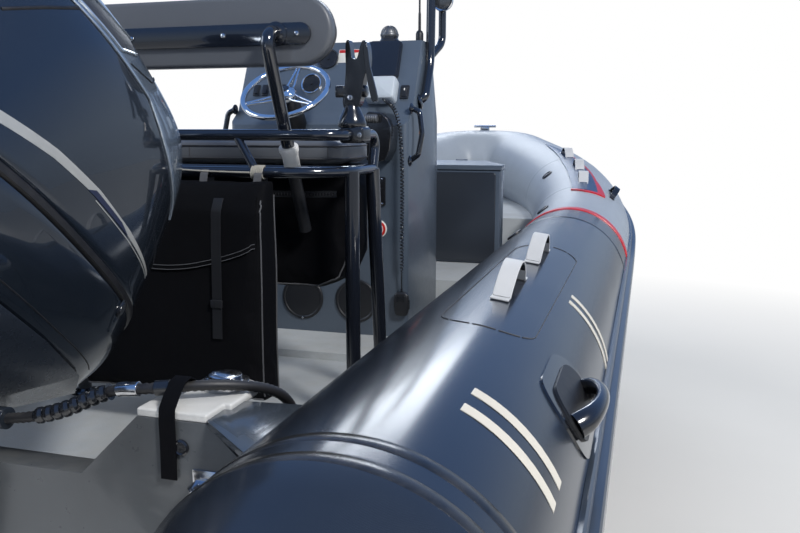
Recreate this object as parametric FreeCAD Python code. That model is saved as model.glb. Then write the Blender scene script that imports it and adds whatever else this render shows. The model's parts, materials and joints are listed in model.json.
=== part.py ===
import FreeCAD, Part
import math
import os
from FreeCAD import Placement, Rotation, Vector

# Rigid hull inflatable boat on its road trailer. Millimetres.
# X to starboard, Y towards the bow, Z up, ground at Z = 0, centre plane X = 0.

# Inflatable tubes: straight sides, a rising run and a rounded nose.
TUBE_R = 275.0
TUBE_X = 965.0
TUBE_Z = 1130.0
TUBE_AFT_Y = -3170.0
CONE_LEN = 400.0
CONE_TIP_R = 125.0
PLUG_LEN = 50.0
BAND_Y = 10.0
BAND_W = 60.0
BAND_T = 3.0
BEND_Y = 50.0
RISE_R = 3000.0
RISE_DEG = 8.0
SWEEP_R = 4000.0
SWEEP_DEG = 26.0
NOSE_R = 360.0
NOSE_HALF = 30.0
STRAKE_T = 30.0
STRAKE_HALF_DEG = 12.0
STRAKE_AFT_Y = -3150.0
STRAP_YS = [-2050.0, -1525.0]
HANDLE_Y = -2480.0

# Hull stations from stern to stem: y, keel z, chine x, chine z, side x, side z.
HULL_STATIONS = [
    (-2820.0, 520.0, 790.0, 765.0, 845.0, 882.0),
    (200.0, 520.0, 795.0, 775.0, 845.0, 882.0),
    (1100.0, 545.0, 735.0, 850.0, 795.0, 1035.0),
    (1800.0, 640.0, 560.0, 960.0, 600.0, 1130.0),
    (2300.0, 800.0, 340.0, 1070.0, 375.0, 1200.0),
    (2650.0, 1010.0, 130.0, 1160.0, 190.0, 1245.0),
    (2820.0, 1190.0, 30.0, 1220.0, 50.0, 1262.0),
]
DECK_TOP = 900.0

# Transom: a plate with a low middle for the engine and two shoulders.
TRANSOM_T = 60.0
TRANSOM_FRONT = HULL_STATIONS[0][0]
TRANSOM_AFT = TRANSOM_FRONT - TRANSOM_T
WELL_Z = 1200.0
WELL_HALF = 400.0
SHOULDER_Z = 1315.0
SHOULDER_IN = 517.0
SHOULDER_OUT = 648.0
TRIM_T = 15.0
TONGUE_X = 606.0
TONGUE_W = 110.0
TONGUE_TIP_Y = -2678.0
CAP_R = 42.0

# Decks forward and the locker in front of the console.
STEP_Y = -350.0
STEP_TOP = 1088.0
BOW_DECK_Y = 900.0
BOW_DECK_TOP = 1250.0
BOW_DECK_END = 2560.0
EYE_X = 646.0
EYE_Z = 1212.0
EYE_BACK = 24.0
EYE_R = 11.0
EYE_T = 12.0
HATCH_Y0 = 1130.0
HATCH_Y1 = 1640.0
HATCH_HALF = 290.0
HATCH_T = 18.0
HATCH_WELL = 130.0
HATCH_LIP = 25.0
LOCKER_Y0 = 170.0
LOCKER_Y1 = 760.0
LOCKER_HALF = 595.0
LOCKER_HALF_FRONT = 400.0
LOCKER_TOP = 1598.0
LOCKER_WALL = 20.0
LOCKER_LID_T = 24.0
PANEL_T = 12.0

# Console: plinth, body and sloping dash.
CONSOLE_HALF = 390.0
CONSOLE_AFT = -835.0
CONSOLE_FRONT = -330.0
CONSOLE_TOP = 2145.0
LEDGE_LOW_Z = 1800.0
LEDGE_Y = -755.0
LEDGE_HIGH_Z = 1860.0
DASH_TOP_Y = -620.0
ROOF_FRONT_Y = -470.0
BROW_Z = 1750.0
PLINTH_AFT = -1140.0
PLINTH_TOP = 930.0
PLINTH_HALF = 470.0
HOOP_X = CONSOLE_HALF + 21.0
LOOP_X = CONSOLE_HALF + 50.0
WHIP_Y = -574.0

# Steering wheel on its sloping shaft.
WHEEL_X = -88.0
WHEEL_Y = -930.0
WHEEL_Z = 1930.0
WHEEL_R = 174.0
WHEEL_RIM_R = 12.0
WHEEL_SLOPE = 53.0
SHAFT_R = 12.0
SHAFT_CLEAR = 0.05

# Leaning post seat.
POST_X = 485.0
POST_AFT_Y = -1740.0
POST_FWD_TOP_Y = -1550.0
POST_FWD_FOOT_Y = -1460.0
RAIL_Z = 1767.0
RAIL_Y = -1850.0
RAIL_R = 16.0
RING_Z = 1662.0
RING_Y = -1870.0
RING_BEND = 180.0
RAIL_FRONT_Y = -1512.0
SEAT_T = 72.0
BACK_Y = -1850.0
BACK_T = 100.0
BACK_HALF = 470.0
BACK_Z0 = 1957.0
BACK_Z1 = 2147.0
UPRIGHT_X = 310.0
UPRIGHT_R = 19.0
UPRIGHT_LEAN = 150.0 / 335.0
COLLAR_R = 29.0
ROD_Y = POST_AFT_Y + 10.0
SOFT_GAP = 0.3

# Outboard engine, drawn upright and then tilted up about the tilt tube.
TILT_Y = -2860.0
TILT_Z = 1275.0
TILT_UP = 42.0
TILT_TUBE_R = 20.0
STEER_BACK = 170.0
STEER_Y = TILT_Y - STEER_BACK
STEER_PIN_R = 20.0
COLUMN_R = 48.0
COLUMN_Z0 = 800.0
COLUMN_Z1 = 1300.0
CLAMP_IN = 95.0
CLAMP_OUT = 125.0
COWL_BOTTOM = 1450.0
LEG_TOP = 1345.0
PLATE_Z = 545.0
PROP_Z = 330.0
PROP_R = 178.0
PROP_HUB_R = 50.0
PROP_BACK = 332.0
PROP_HUB_LEN = 108.0
PROP_Y0 = STEER_Y - PROP_BACK
PROP_Y1 = PROP_Y0 - PROP_HUB_LEN
PROP_SHAFT_R = 13.0
RAM_FOOT_Y = TRANSOM_AFT - 35.0
RAM_FOOT_Z = 905.0
RAM_EYE_Y = STEER_Y + 95.0
RAM_EYE_Z = 1145.0
RAM_R = 24.0
RAM_ROD_R = 11.0
RAM_BARREL_LEN = 185.0

# Road trailer.
AXLE_Y = -1000.0
TYRE_R = 320.0
TYRE_W = 185.0
TYRE_X = 1055.0
RIM_R = 178.0
SPINDLE_R = 20.0
FRAME_X = 560.0
FRAME_W = 50.0
FRAME_Z0 = 390.0
FRAME_Z1 = 490.0
FRAME_AFT = -2700.0
FRAME_BEND = 1500.0
FRAME_NOSE = 2700.0
DRAWBAR_HALF = 40.0
DRAWBAR_Z0 = 400.0
DRAWBAR_Z1 = 480.0
COUPLER_Y = 3960.0
CROSS_YS = [-2600.0, -1450.0, -300.0, 900.0]
ROLLER_R = 42.0
BUNK_X = 430.0
BUNK_W = 95.0
BUNK_T = 50.0
FENDER_R = 352.0
FENDER_T = 4.0
JACK_Y = 3250.0
JACK_X = 96.0
WINCH_Y = 2900.0


def point(p):
    return Vector(*p)


def box(xs, ys, zs):
    corner = Vector(xs[0], ys[0], zs[0])
    return Part.makeBox(xs[1] - xs[0], ys[1] - ys[0], zs[1] - zs[0], corner)


def rod(start, end, radius):
    a = point(start)
    b = point(end)
    return Part.makeCylinder(radius, (b - a).Length, a, b - a)


def mirrored(shape):
    return shape.mirror(Vector(0, 0, 0), Vector(1, 0, 0))


def group(shapes):
    return Part.makeCompound(shapes)


def pair(shape):
    return group([shape, mirrored(shape)])


def joined(shapes):
    if len(shapes) == 1:
        return shapes[0]
    return shapes[0].multiFuse(shapes[1:]).removeSplitter()


def joined_in_turn(shapes):
    """Fuse one after another, for bars that share long runs."""
    whole = shapes[0]
    for shape in shapes[1:]:
        whole = whole.fuse(shape)
    return whole.removeSplitter()


def polygon(points):
    return Part.Face(Part.makePolygon([Vector(*p) for p in points + points[:1]]))


def along_x(yz, x0, x1):
    return polygon([(x0, y, z) for y, z in yz]).extrude(Vector(x1 - x0, 0, 0))


def along_y(xz, y0, y1):
    return polygon([(x, y0, z) for x, z in xz]).extrude(Vector(0, y1 - y0, 0))


def along_z(xy, z0, z1):
    return polygon([(x, y, z0) for x, y in xy]).extrude(Vector(0, 0, z1 - z0))


def rounded(shape, radius, direction, shortest=0.0):
    """Fillet the straight edges that run along a direction."""
    picked = []
    for edge in shape.Edges:
        if len(edge.Vertexes) != 2:
            continue
        run = edge.Vertexes[1].Point - edge.Vertexes[0].Point
        if run.Length > shortest and abs(run.normalize().dot(direction)) > 0.999:
            picked.append(edge)
    return shape.makeFillet(radius, picked)


def slot_plate(half, z0, z1, y0, y1):
    """A plate with round ends, long in X, thick in Y."""
    r = (z1 - z0) / 2
    zc = (z0 + z1) / 2
    x = half - r
    right = Part.Arc(Vector(x, y0, z0), Vector(half, y0, zc), Vector(x, y0, z1)).toShape()
    left = Part.Arc(Vector(-x, y0, z1), Vector(-half, y0, zc), Vector(-x, y0, z0)).toShape()
    top = Part.makeLine(Vector(x, y0, z1), Vector(-x, y0, z1))
    bottom = Part.makeLine(Vector(-x, y0, z0), Vector(x, y0, z0))
    outline = Part.Wire([right, top, left, bottom])
    return Part.Face(outline).extrude(Vector(0, y1 - y0, 0))


def disc(centre, normal, radius):
    return Part.Face(Part.Wire(Part.makeCircle(radius, centre, normal)))


def bent_rod(points, radius, bends):
    """A round bar through the points, each corner an arc of its bend radius."""
    pts = [point(p) for p in points]
    if not isinstance(bends, (list, tuple)):
        bends = [bends] * (len(pts) - 2)
    pieces = []
    start = pts[0]
    for i in range(1, len(pts) - 1):
        a = (pts[i] - pts[i - 1]).normalize()
        b = (pts[i + 1] - pts[i]).normalize()
        turn = a.getAngle(b)
        back = bends[i - 1] * math.tan(turn / 2)
        end = pts[i] - a * back
        if (end - start).Length > 0.01:
            pieces.append(Part.makeCylinder(radius, (end - start).Length, start, a))
        axis = a.cross(b).normalize()
        centre = end + axis.cross(a) * bends[i - 1]
        pieces.append(disc(end, a, radius).revolve(centre, axis, math.degrees(turn)))
        start = pts[i] + b * back
    last = pts[-1] - start
    pieces.append(Part.makeCylinder(radius, last.Length, start, last))
    return joined(pieces)


def ring(centre, axis, major, minor):
    return Part.makeTorus(major, minor, centre, axis)


def run_in():
    """Straight run between sweep and nose that brings the tube to the middle."""
    sweep = math.radians(SWEEP_DEG)
    left = TUBE_X - SWEEP_R * (1 - math.cos(sweep)) - NOSE_R * math.cos(sweep) - NOSE_HALF
    return left / math.sin(sweep)


def tube_steps(start_y):
    """The starboard tube's centreline from start_y to the middle of the bow."""
    return [
        ("line", BEND_Y - start_y, 0.0),
        ("rise", RISE_R, RISE_DEG),
        ("turn", SWEEP_R, SWEEP_DEG),
        ("line", run_in(), 0.0),
        ("turn", NOSE_R, 90.0 - SWEEP_DEG),
        ("line", NOSE_HALF, 0.0),
    ]


def along_tube(section, start_y):
    """Sweep a section, drawn with x outboard and y up, along the starboard tube."""
    spot = Vector(TUBE_X, start_y, TUBE_Z)
    ahead = Vector(0, 1, 0)
    out = Vector(1, 0, 0)
    up = Vector(0, 0, 1)
    pieces = []
    for kind, size, degrees in tube_steps(start_y):
        face = section.copy()
        face.Placement = Placement(spot, Rotation(out, up, out.cross(up)))
        if kind == "line":
            pieces.append(face.extrude(ahead * size))
            spot = spot + ahead * size
            continue
        inward = up if kind == "rise" else out * -1
        axis = ahead.cross(inward)
        centre = spot + inward * size
        pieces.append(face.revolve(centre, axis, degrees))
        turn = Rotation(axis, degrees)
        spot = centre + turn.multVec(spot - centre)
        ahead = turn.multVec(ahead)
        out = turn.multVec(out)
        up = turn.multVec(up)
    return pieces


def tube_section():
    return disc(Vector(0, 0, 0), Vector(0, 0, 1), TUBE_R)


def strake_section():
    half = math.radians(STRAKE_HALF_DEG)
    inner = TUBE_R
    outer = TUBE_R + STRAKE_T
    slim = half * 0.8
    a = Vector(inner * math.cos(half), -inner * math.sin(half), 0)
    b = Vector(inner * math.cos(half), inner * math.sin(half), 0)
    c = Vector(outer * math.cos(slim), outer * math.sin(slim), 0)
    d = Vector(outer * math.cos(slim), -outer * math.sin(slim), 0)
    inside = Part.Arc(a, Vector(inner, 0, 0), b).toShape()
    outside = Part.Arc(c, Vector(outer, 0, 0), d).toShape()
    return Part.Face(Part.Wire([inside, Part.makeLine(b, c), outside, Part.makeLine(d, a)]))


def side_tube():
    length = BAND_Y - TUBE_AFT_Y
    start = Vector(TUBE_X, TUBE_AFT_Y, TUBE_Z)
    aft = Vector(0, -1, 0)
    body = Part.makeCylinder(TUBE_R, length, start, Vector(0, 1, 0))
    cone = Part.makeCone(TUBE_R, CONE_TIP_R, CONE_LEN, start, aft)
    plug = Part.makeCylinder(CONE_TIP_R, PLUG_LEN, start + aft * CONE_LEN, aft)
    return body.multiFuse([cone, plug])


def whole_tube_cutter():
    """Both side tubes and the bow tube, for trimming what meets them."""
    starboard = [side_tube()] + along_tube(tube_section(), BAND_Y)
    return starboard + [mirrored(s) for s in starboard]


def trimmed(shape, cutters):
    return shape.cut(cutters).removeSplitter()


def bow_tube():
    half = along_tube(tube_section(), BAND_Y)
    return joined(half + [mirrored(s) for s in half])


def rub_strakes():
    half = along_tube(strake_section(), STRAKE_AFT_Y)
    return joined(half + [mirrored(s) for s in half])


def red_bands(neighbours):
    start = Vector(TUBE_X, BAND_Y - BAND_W / 2, TUBE_Z)
    ahead = Vector(0, 1, 0)
    outer = Part.makeCylinder(TUBE_R + BAND_T, BAND_W, start, ahead)
    inner = Part.makeCylinder(TUBE_R, BAND_W, start, ahead)
    return pair(outer.cut(inner).cut(neighbours))


def hull_solid():
    wires = []
    for y, keel, chine_x, chine_z, side_x, side_z in HULL_STATIONS:
        points = [(0, y, keel), (chine_x, y, chine_z), (side_x, y, side_z)]
        points += [(-side_x, y, side_z), (-chine_x, y, chine_z)]
        wires.append(Part.makePolygon([Vector(*p) for p in points + points[:1]]))
    return Part.makeLoft(wires, True, True)


def bow_eye():
    """A drilled eye plate on the stem for the winch strap."""
    plate = box((-6, 6), (2440, 2530), (870, 930))
    hole = rod((-10, 2502, 900), (10, 2502, 900), 12)
    return plate.cut(hole)


def transom(tubes):
    keel = HULL_STATIONS[0][1]
    chine = HULL_STATIONS[0][2:4]
    side = HULL_STATIONS[0][4:6]
    half = [chine, side, (side[0], TUBE_Z), (SHOULDER_OUT, SHOULDER_Z)]
    half += [(SHOULDER_IN, SHOULDER_Z), (WELL_HALF, WELL_Z)]
    outline = [(0, keel)] + half + [(-x, z) for x, z in reversed(half)]
    plate = along_y(outline, TRANSOM_AFT, TRANSOM_FRONT)
    knee = [(TRANSOM_FRONT, DECK_TOP), (TRANSOM_FRONT, SHOULDER_Z)]
    knee += [(TONGUE_TIP_Y - 30, SHOULDER_Z), (TONGUE_TIP_Y - 130, DECK_TOP)]
    knees = along_x(knee, TONGUE_X - 25, TONGUE_X + 25)
    return trimmed(joined([plate, knees, mirrored(knees)]), tubes)


def transom_trim():
    """Pale cover plates on the shoulders, each with a tongue that carries a cap."""
    zs = (SHOULDER_Z, SHOULDER_Z + TRIM_T)
    shoulder = box((SHOULDER_IN, SHOULDER_OUT), (TRANSOM_AFT, TRANSOM_FRONT), zs)
    half = TONGUE_W / 2
    tip = TONGUE_TIP_Y - half
    tongue = box((TONGUE_X - half, TONGUE_X + half), (TRANSOM_FRONT - 1, tip), zs)
    nose = Part.makeCylinder(half, TRIM_T, Vector(TONGUE_X, tip, zs[0]))
    return pair(joined([shoulder, tongue, nose]))


def stern_gussets(tubes, neighbours):
    edge = [(SHOULDER_OUT, TRANSOM_AFT), (SHOULDER_OUT, -2775), (790, -2760), (800, -3010)]
    sheet = along_z(edge, SHOULDER_Z - 6, SHOULDER_Z + 6)
    return pair(trimmed(trimmed(sheet, tubes), neighbours))


def stern_eye():
    """Flat eye on a small plate on the transom's aft face."""
    x, y, z = EYE_X, TRANSOM_AFT - EYE_BACK, EYE_Z
    tongue = box((x - 20, x + 20), (y, TRANSOM_AFT), (z - EYE_T / 2, z + EYE_T / 2))
    tip = Part.makeCylinder(20, EYE_T, Vector(x, y, z - EYE_T / 2))
    plate = box((x - 26, x + 26), (TRANSOM_AFT - 4, TRANSOM_AFT), (z - 24, z + 24))
    eye = joined([tongue, tip, plate])
    return eye.cut(Part.makeCylinder(EYE_R, 2 * EYE_T, Vector(x, y, z - EYE_T)))


def metal_fittings(hull):
    """Caps on the tongues, stern eyes with snap hooks, bow cleat and bow eye."""
    top = SHOULDER_Z + TRIM_T
    shapes = []
    cap = Part.makeCylinder(CAP_R, 14, Vector(TONGUE_X, TONGUE_TIP_Y - 60, top))
    crown = Part.makeCylinder(CAP_R * 0.7, 10, Vector(TONGUE_X, TONGUE_TIP_Y - 60, top + 14))
    shapes.append(pair(cap.fuse(crown)))
    shapes.append(pair(stern_eye()))
    shapes.append(bow_eye().cut(hull))
    cleat_z = bow_top()
    post = box((-35, 35), (bow_middle_y() - 15, bow_middle_y() + 15), (cleat_z - 12, cleat_z + 28))
    horn = rod((-90, bow_middle_y(), cleat_z + 34), (90, bow_middle_y(), cleat_z + 34), 10)
    shapes.append(trimmed(post.fuse(horn), bow_cutter()))
    return group(shapes)


def bow_middle():
    """Centre of the tube where it crosses the middle of the bow."""
    rise = math.radians(RISE_DEG)
    sweep = math.radians(SWEEP_DEG)
    reach = SWEEP_R * math.sin(sweep) + run_in() * math.cos(sweep)
    reach += NOSE_R * (1 - math.sin(sweep))
    y = BEND_Y + RISE_R * math.sin(rise) + reach * math.cos(rise)
    z = TUBE_Z + RISE_R * (1 - math.cos(rise)) + reach * math.sin(rise)
    return y, z


def bow_middle_y():
    return bow_middle()[0]


def bow_top():
    return bow_middle()[1] + TUBE_R


def bow_cutter():
    half = along_tube(tube_section(), BAND_Y)
    return half + [mirrored(s) for s in half]


def hull_side(y):
    """Half width and height of the hull's top edge at y."""
    for a, b in zip(HULL_STATIONS, HULL_STATIONS[1:]):
        if a[0] <= y <= b[0]:
            share = (y - a[0]) / (b[0] - a[0])
            return a[4] + share * (b[4] - a[4]), a[5] + share * (b[5] - a[5])
    raise ValueError("no hull at this place")


def deck_on_hull(y0, y1, top):
    """A level deck that stands on the hull's top edges between two places."""
    ys = [y0] + [s[0] for s in HULL_STATIONS if y0 < s[0] < y1] + [y1]
    wires = []
    for y in ys:
        x, z = hull_side(y)
        corners = [(-x, y, z), (x, y, z), (x, y, top), (-x, y, top)]
        wires.append(Part.makePolygon([Vector(*p) for p in corners + corners[:1]]))
    return Part.makeLoft(wires, True, True)


def cockpit_deck(tubes):
    return trimmed(deck_on_hull(TRANSOM_FRONT, STEP_Y, DECK_TOP), tubes)


def forward_platform(tubes):
    """Low platform round the console, with the plinth that carries the console."""
    step = trimmed(deck_on_hull(STEP_Y, BOW_DECK_Y, STEP_TOP), tubes)
    plinth = box((-PLINTH_HALF, PLINTH_HALF), (PLINTH_AFT, STEP_Y), (DECK_TOP, PLINTH_TOP))
    return joined([step, plinth])


def bow_deck(tubes):
    """Raised deck in the bow with the well under the hatch."""
    top = BOW_DECK_TOP
    block = deck_on_hull(BOW_DECK_Y, BOW_DECK_END, top)
    well = box((-HATCH_HALF + HATCH_LIP, HATCH_HALF - HATCH_LIP),
               (HATCH_Y0 + HATCH_LIP, HATCH_Y1 - HATCH_LIP), (top - HATCH_WELL, top + 1))
    return trimmed(block.cut(well), tubes)


def bow_hatch_lid():
    z0 = BOW_DECK_TOP + SOFT_GAP
    lid = box((-HATCH_HALF, HATCH_HALF), (HATCH_Y0, HATCH_Y1), (z0, z0 + HATCH_T))
    lid = rounded(lid, 40, Vector(0, 0, 1))
    latch = Part.makeCylinder(28, 6, Vector(0, HATCH_Y0 + 60, z0 + HATCH_T))
    return joined([lid, latch] + knuckles(180, HATCH_Y1, z0 + HATCH_T, 6))


def knuckles(offset, y, z, radius):
    """Two hinge barrels on a lid's turning line."""
    return [rod((x - 35, y, z), (x + 35, y, z), radius) for x in (-offset, offset)]


def locker_outline(inset, front_inset):
    half = LOCKER_HALF - inset
    front = LOCKER_HALF_FRONT - inset
    y0 = LOCKER_Y0 + inset
    y1 = LOCKER_Y1 - front_inset
    return [(-half, y0), (half, y0), (half, y0 + 90), (front, y1), (-front, y1), (-half, y0 + 90)]


def bow_locker():
    outer = along_z(locker_outline(0, 0), STEP_TOP, LOCKER_TOP - LOCKER_LID_T)
    inner = along_z(locker_outline(LOCKER_WALL, LOCKER_WALL), STEP_TOP + LOCKER_WALL, LOCKER_TOP)
    return outer.cut(inner)


def locker_lid():
    z0 = LOCKER_TOP - LOCKER_LID_T + SOFT_GAP
    lid = along_z(locker_outline(-6, -6), z0, LOCKER_TOP)
    return joined([lid] + knuckles(260, LOCKER_Y1 + 6, LOCKER_TOP, 8))


def locker_panel():
    """Dark panel screwed to the aft face of the locker."""
    half = LOCKER_HALF - 25
    zs = (STEP_TOP + 12, LOCKER_TOP - LOCKER_LID_T - 12)
    panel = box((-half, half), (LOCKER_Y0 - PANEL_T, LOCKER_Y0), zs)
    return rounded(panel, 18, Vector(0, 1, 0))


def console():
    profile = [
        (CONSOLE_AFT, PLINTH_TOP),
        (CONSOLE_AFT, LEDGE_LOW_Z),
        (LEDGE_Y, LEDGE_HIGH_Z),
        (DASH_TOP_Y, CONSOLE_TOP),
        (ROOF_FRONT_Y, CONSOLE_TOP),
        (CONSOLE_FRONT, BROW_Z),
        (CONSOLE_FRONT, STEP_TOP),
        (STEP_Y, STEP_TOP),
        (STEP_Y, PLINTH_TOP),
    ]
    body = along_x(profile, -CONSOLE_HALF, CONSOLE_HALF)
    return rounded(body, 25, Vector(0, 0, 1), 300.0)


def dash_point(x, z, off=0.0):
    """A place on the sloping dash at height z, off millimetres out of it."""
    run = Vector(0, DASH_TOP_Y - LEDGE_Y, CONSOLE_TOP - LEDGE_HIGH_Z).normalize()
    share = (z - LEDGE_HIGH_Z) / (CONSOLE_TOP - LEDGE_HIGH_Z)
    y = LEDGE_Y + share * (DASH_TOP_Y - LEDGE_Y)
    normal = Vector(0, -run.z, run.y)
    return Vector(x, y, z) + normal * off


def dash_normal():
    return (dash_point(0, CONSOLE_TOP, 1.0) - dash_point(0, CONSOLE_TOP)).normalize()


def on_dash(x, z, width, height, depth):
    """A box instrument that sits flat on the dash."""
    block = Part.makeBox(width, height, depth, Vector(-width / 2, -height / 2, 0))
    normal = dash_normal()
    across = Vector(1, 0, 0)
    block.Placement = Placement(dash_point(x, z), Rotation(across, normal.cross(across), normal))
    return rounded(block, min(width, height) * 0.12, normal)


def round_gauge(x, z, radius, depth):
    return Part.makeCylinder(radius, depth, dash_point(x, z), dash_normal())


def dash_instruments():
    """Plotter, radio, rocker switch and three round gauges."""
    return group([
        on_dash(238, 2061, 148, 176, 22),
        on_dash(254, 1930, 128, 104, 55),
        on_dash(347, 1930, 36, 60, 10),
        round_gauge(-70, 1970, 46, 9),
        round_gauge(-12, 2075, 46, 9),
        round_gauge(-158, 2075, 46, 9),
    ])


def compass():
    base = Vector(228, -548, CONSOLE_TOP)
    foot = Part.makeCylinder(41, 36, base)
    dome = Part.makeSphere(36, base + Vector(0, 0, 36), Vector(0, 0, 1), 0, 90, 360)
    return foot.fuse(dome)


def wheel_axis():
    slope = math.radians(WHEEL_SLOPE)
    return Vector(0, -math.cos(slope), math.sin(slope))


def wheel_centre():
    return Vector(WHEEL_X, WHEEL_Y, WHEEL_Z)


def helm(body):
    """The helm boss that leaves the ledge, with the shaft end that carries the wheel."""
    axis = wheel_axis()
    boss = Part.makeCylinder(45, 190, wheel_centre() - axis * 225, axis)
    shaft = Part.makeCylinder(SHAFT_R, 45, wheel_centre() - axis * 36, axis)
    return boss.cut(body).fuse(shaft)


def console_fittings(body):
    """Helm boss, two speakers, latch plate and battery switch."""
    aft = Vector(0, -1, 0)
    shapes = [helm(body)]
    for x in (-71, 170):
        shapes.append(Part.makeCylinder(92, 12, Vector(x, CONSOLE_AFT, 1074), aft))
    shapes.append(box((263, 300), (CONSOLE_AFT - 8, CONSOLE_AFT), (1475, 1592)))
    shapes.append(Part.makeCylinder(38, 22, Vector(267, CONSOLE_AFT, 1380), aft))
    return group(shapes)


def control_box(body):
    """Engine control on the console's aft face, with its lever and cross grip."""
    outline = [(250, 1660), (325, 1655), (345, 1700), (352, 1780), (340, 1815), (312, 1846),
               (250, 1850)]
    housing = along_y(outline, CONSOLE_AFT - 95, CONSOLE_AFT + 60).cut(body)
    pivot = Vector(238, CONSOLE_AFT - 45, 1790)
    hub = rod(pivot - Vector(10, 0, 0), pivot + Vector(20, 0, 0), 28)
    end = pivot + Vector(0, -70, 32)
    lever = rod(pivot, end, 9)
    grip = rod(end - Vector(5, 0, 0), end + Vector(67, 0, 0), 17)
    return joined([housing, hub, lever, grip])


def console_rails(body):
    """Side handrails, the tall hoop over the console and its two side loops."""
    x = CONSOLE_HALF
    hand = bent_rod([(x - 12, -778, 1870), (x + 36, -780, 1850), (x + 50, -790, 1765),
                     (x + 36, -798, 1680), (x - 12, -800, 1645)], 11, [26, 90, 26])
    half = [(x - 12, -660, 1890), (x + 22, -645, 1915), (HOOP_X, -560, 2060), (HOOP_X, -540, 2520)]
    other = [(-px, py, pz) for px, py, pz in reversed(half)]
    hoop = bent_rod(half + other, 19, [30, 220, 120, 120, 220, 30])
    loop = bent_rod([(HOOP_X, -551, 2085), (LOOP_X, -470, 2145), (LOOP_X, -470, 2350),
                     (HOOP_X, -546, 2440)], 16, [60, 60])
    both = [hand, mirrored(hand), hoop, loop, mirrored(loop)]
    cleaned = [s.cut(body) for s in both]
    frame = joined([cleaned[2], cleaned[3], cleaned[4]])
    return group([cleaned[0], cleaned[1], frame])


def mast_light():
    """Round lamp on the starboard loop and the all-round light on the hoop."""
    lamp = Part.makeCylinder(46, 38, Vector(LOOP_X + 11, -486.3, 2316), Vector(0, -1, 0))
    foot = Part.makeCylinder(12, 70, Vector(0, -540, 2539.2))
    light = Part.makeCylinder(26, 70, Vector(0, -540, 2609.2))
    return group([lamp, foot.fuse(light)])


def whip_antenna():
    x = CONSOLE_HALF - 22
    base = Part.makeCylinder(16, 45, Vector(x, WHIP_Y, CONSOLE_TOP))
    whip = Part.makeCylinder(4, 950, Vector(x, WHIP_Y, CONSOLE_TOP + 45))
    return base.fuse(whip)


def steering_wheel():
    centre = wheel_centre()
    axis = wheel_axis()
    rim = ring(centre, axis, WHEEL_R, WHEEL_RIM_R)
    hub = Part.makeCylinder(36, 40, centre - axis * 30, axis)
    across = Vector(1, 0, 0)
    shapes = [rim, hub]
    for degrees in (90, 210, 330):
        arm = Rotation(axis, degrees).multVec(across)
        shapes.append(Part.makeCylinder(8, WHEEL_R - 4, centre, arm))
    bore = Part.makeCylinder(SHAFT_R + SHAFT_CLEAR, 45, centre - axis * 36, axis)
    return joined(shapes).cut(bore)


def upright_y(z):
    """Where the backrest's leaning uprights stand at height z."""
    return BACK_Y + 55 + (RAIL_Z - 30 - z) * UPRIGHT_LEAN


def seat_frame():
    """Leaning post: legs, seat ring, grab rail, struts, uprights, collars and back strip."""
    aft_leg = bent_rod([(POST_X, POST_AFT_Y, DECK_TOP), (POST_X, POST_AFT_Y, RING_Z)], 22, 0)
    fwd_leg = bent_rod([(POST_X, POST_FWD_FOOT_Y, DECK_TOP),
                        (POST_X, POST_FWD_TOP_Y, RING_Z)], 22, 0)
    side = [aft_leg, fwd_leg]
    for y in (POST_AFT_Y, POST_FWD_FOOT_Y):
        side.append(Part.makeCylinder(45, 10, Vector(POST_X, y, DECK_TOP)))
    foot_z = RING_Z - 185
    collar_z = RAIL_Z - 30
    strip_z = (BACK_Z0 + BACK_Z1) / 2 - 10
    elbow_z = strip_z + 4
    side.append(rod((UPRIGHT_X, upright_y(RING_Z), RING_Z),
                    (UPRIGHT_X, upright_y(collar_z), collar_z), COLLAR_R))
    upright = bent_rod([(UPRIGHT_X, upright_y(foot_z), foot_z),
                        (UPRIGHT_X, upright_y(elbow_z), elbow_z),
                        (UPRIGHT_X, BACK_Y - 8, strip_z)], UPRIGHT_R, 34)
    side.append(upright)
    side.append(rod((245, RING_Y, RING_Z), (173, RAIL_Y, RAIL_Z), 12))
    shapes = side + [mirrored(s) for s in side]
    front = POST_FWD_TOP_Y
    ring_points = [(POST_X, front, RING_Z), (POST_X, RING_Y, RING_Z), (-POST_X, RING_Y, RING_Z),
                   (-POST_X, front, RING_Z)]
    shapes.append(bent_rod(ring_points, RAIL_R, RING_BEND))
    shapes.append(rod((-POST_X, front, RING_Z), (POST_X, front, RING_Z), RAIL_R))
    shapes.append(rod((-POST_X, -1745, RING_Z), (POST_X, -1745, RING_Z), RAIL_R))
    rail = [(POST_X, POST_FWD_TOP_Y, RING_Z), (POST_X, RAIL_FRONT_Y, RAIL_Z), (POST_X, RAIL_Y, RAIL_Z),
            (-POST_X, RAIL_Y, RAIL_Z), (-POST_X, RAIL_FRONT_Y, RAIL_Z),
            (-POST_X, POST_FWD_TOP_Y, RING_Z)]
    shapes.append(bent_rod(rail, RAIL_R, [38, 75, 75, 38]))
    shapes.append(slot_plate(BACK_HALF - 58, strip_z - 30, strip_z + 30, BACK_Y - 10, BACK_Y - SOFT_GAP))
    return joined_in_turn(shapes)


def seat_cushion():
    half = POST_X - 35
    bottom = RING_Z + RAIL_R + SOFT_GAP
    pad = box((-half, half), (-1728, -1420), (bottom, bottom + SEAT_T))
    return rounded(pad, 45, Vector(0, 0, 1))


def backrest():
    return slot_plate(BACK_HALF, BACK_Z0, BACK_Z1, BACK_Y, BACK_Y + BACK_T)


def stowage_bag():
    """Fabric bag that hangs behind the seat ring."""
    top = RING_Z - RAIL_R - SOFT_GAP
    profile = [(-1856, top), (-1856, 1010), (-1965, 1000), (-1985, 1180), (-1972, 1560),
               (-1905, top)]
    return along_x(profile, -312, 312)


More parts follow.
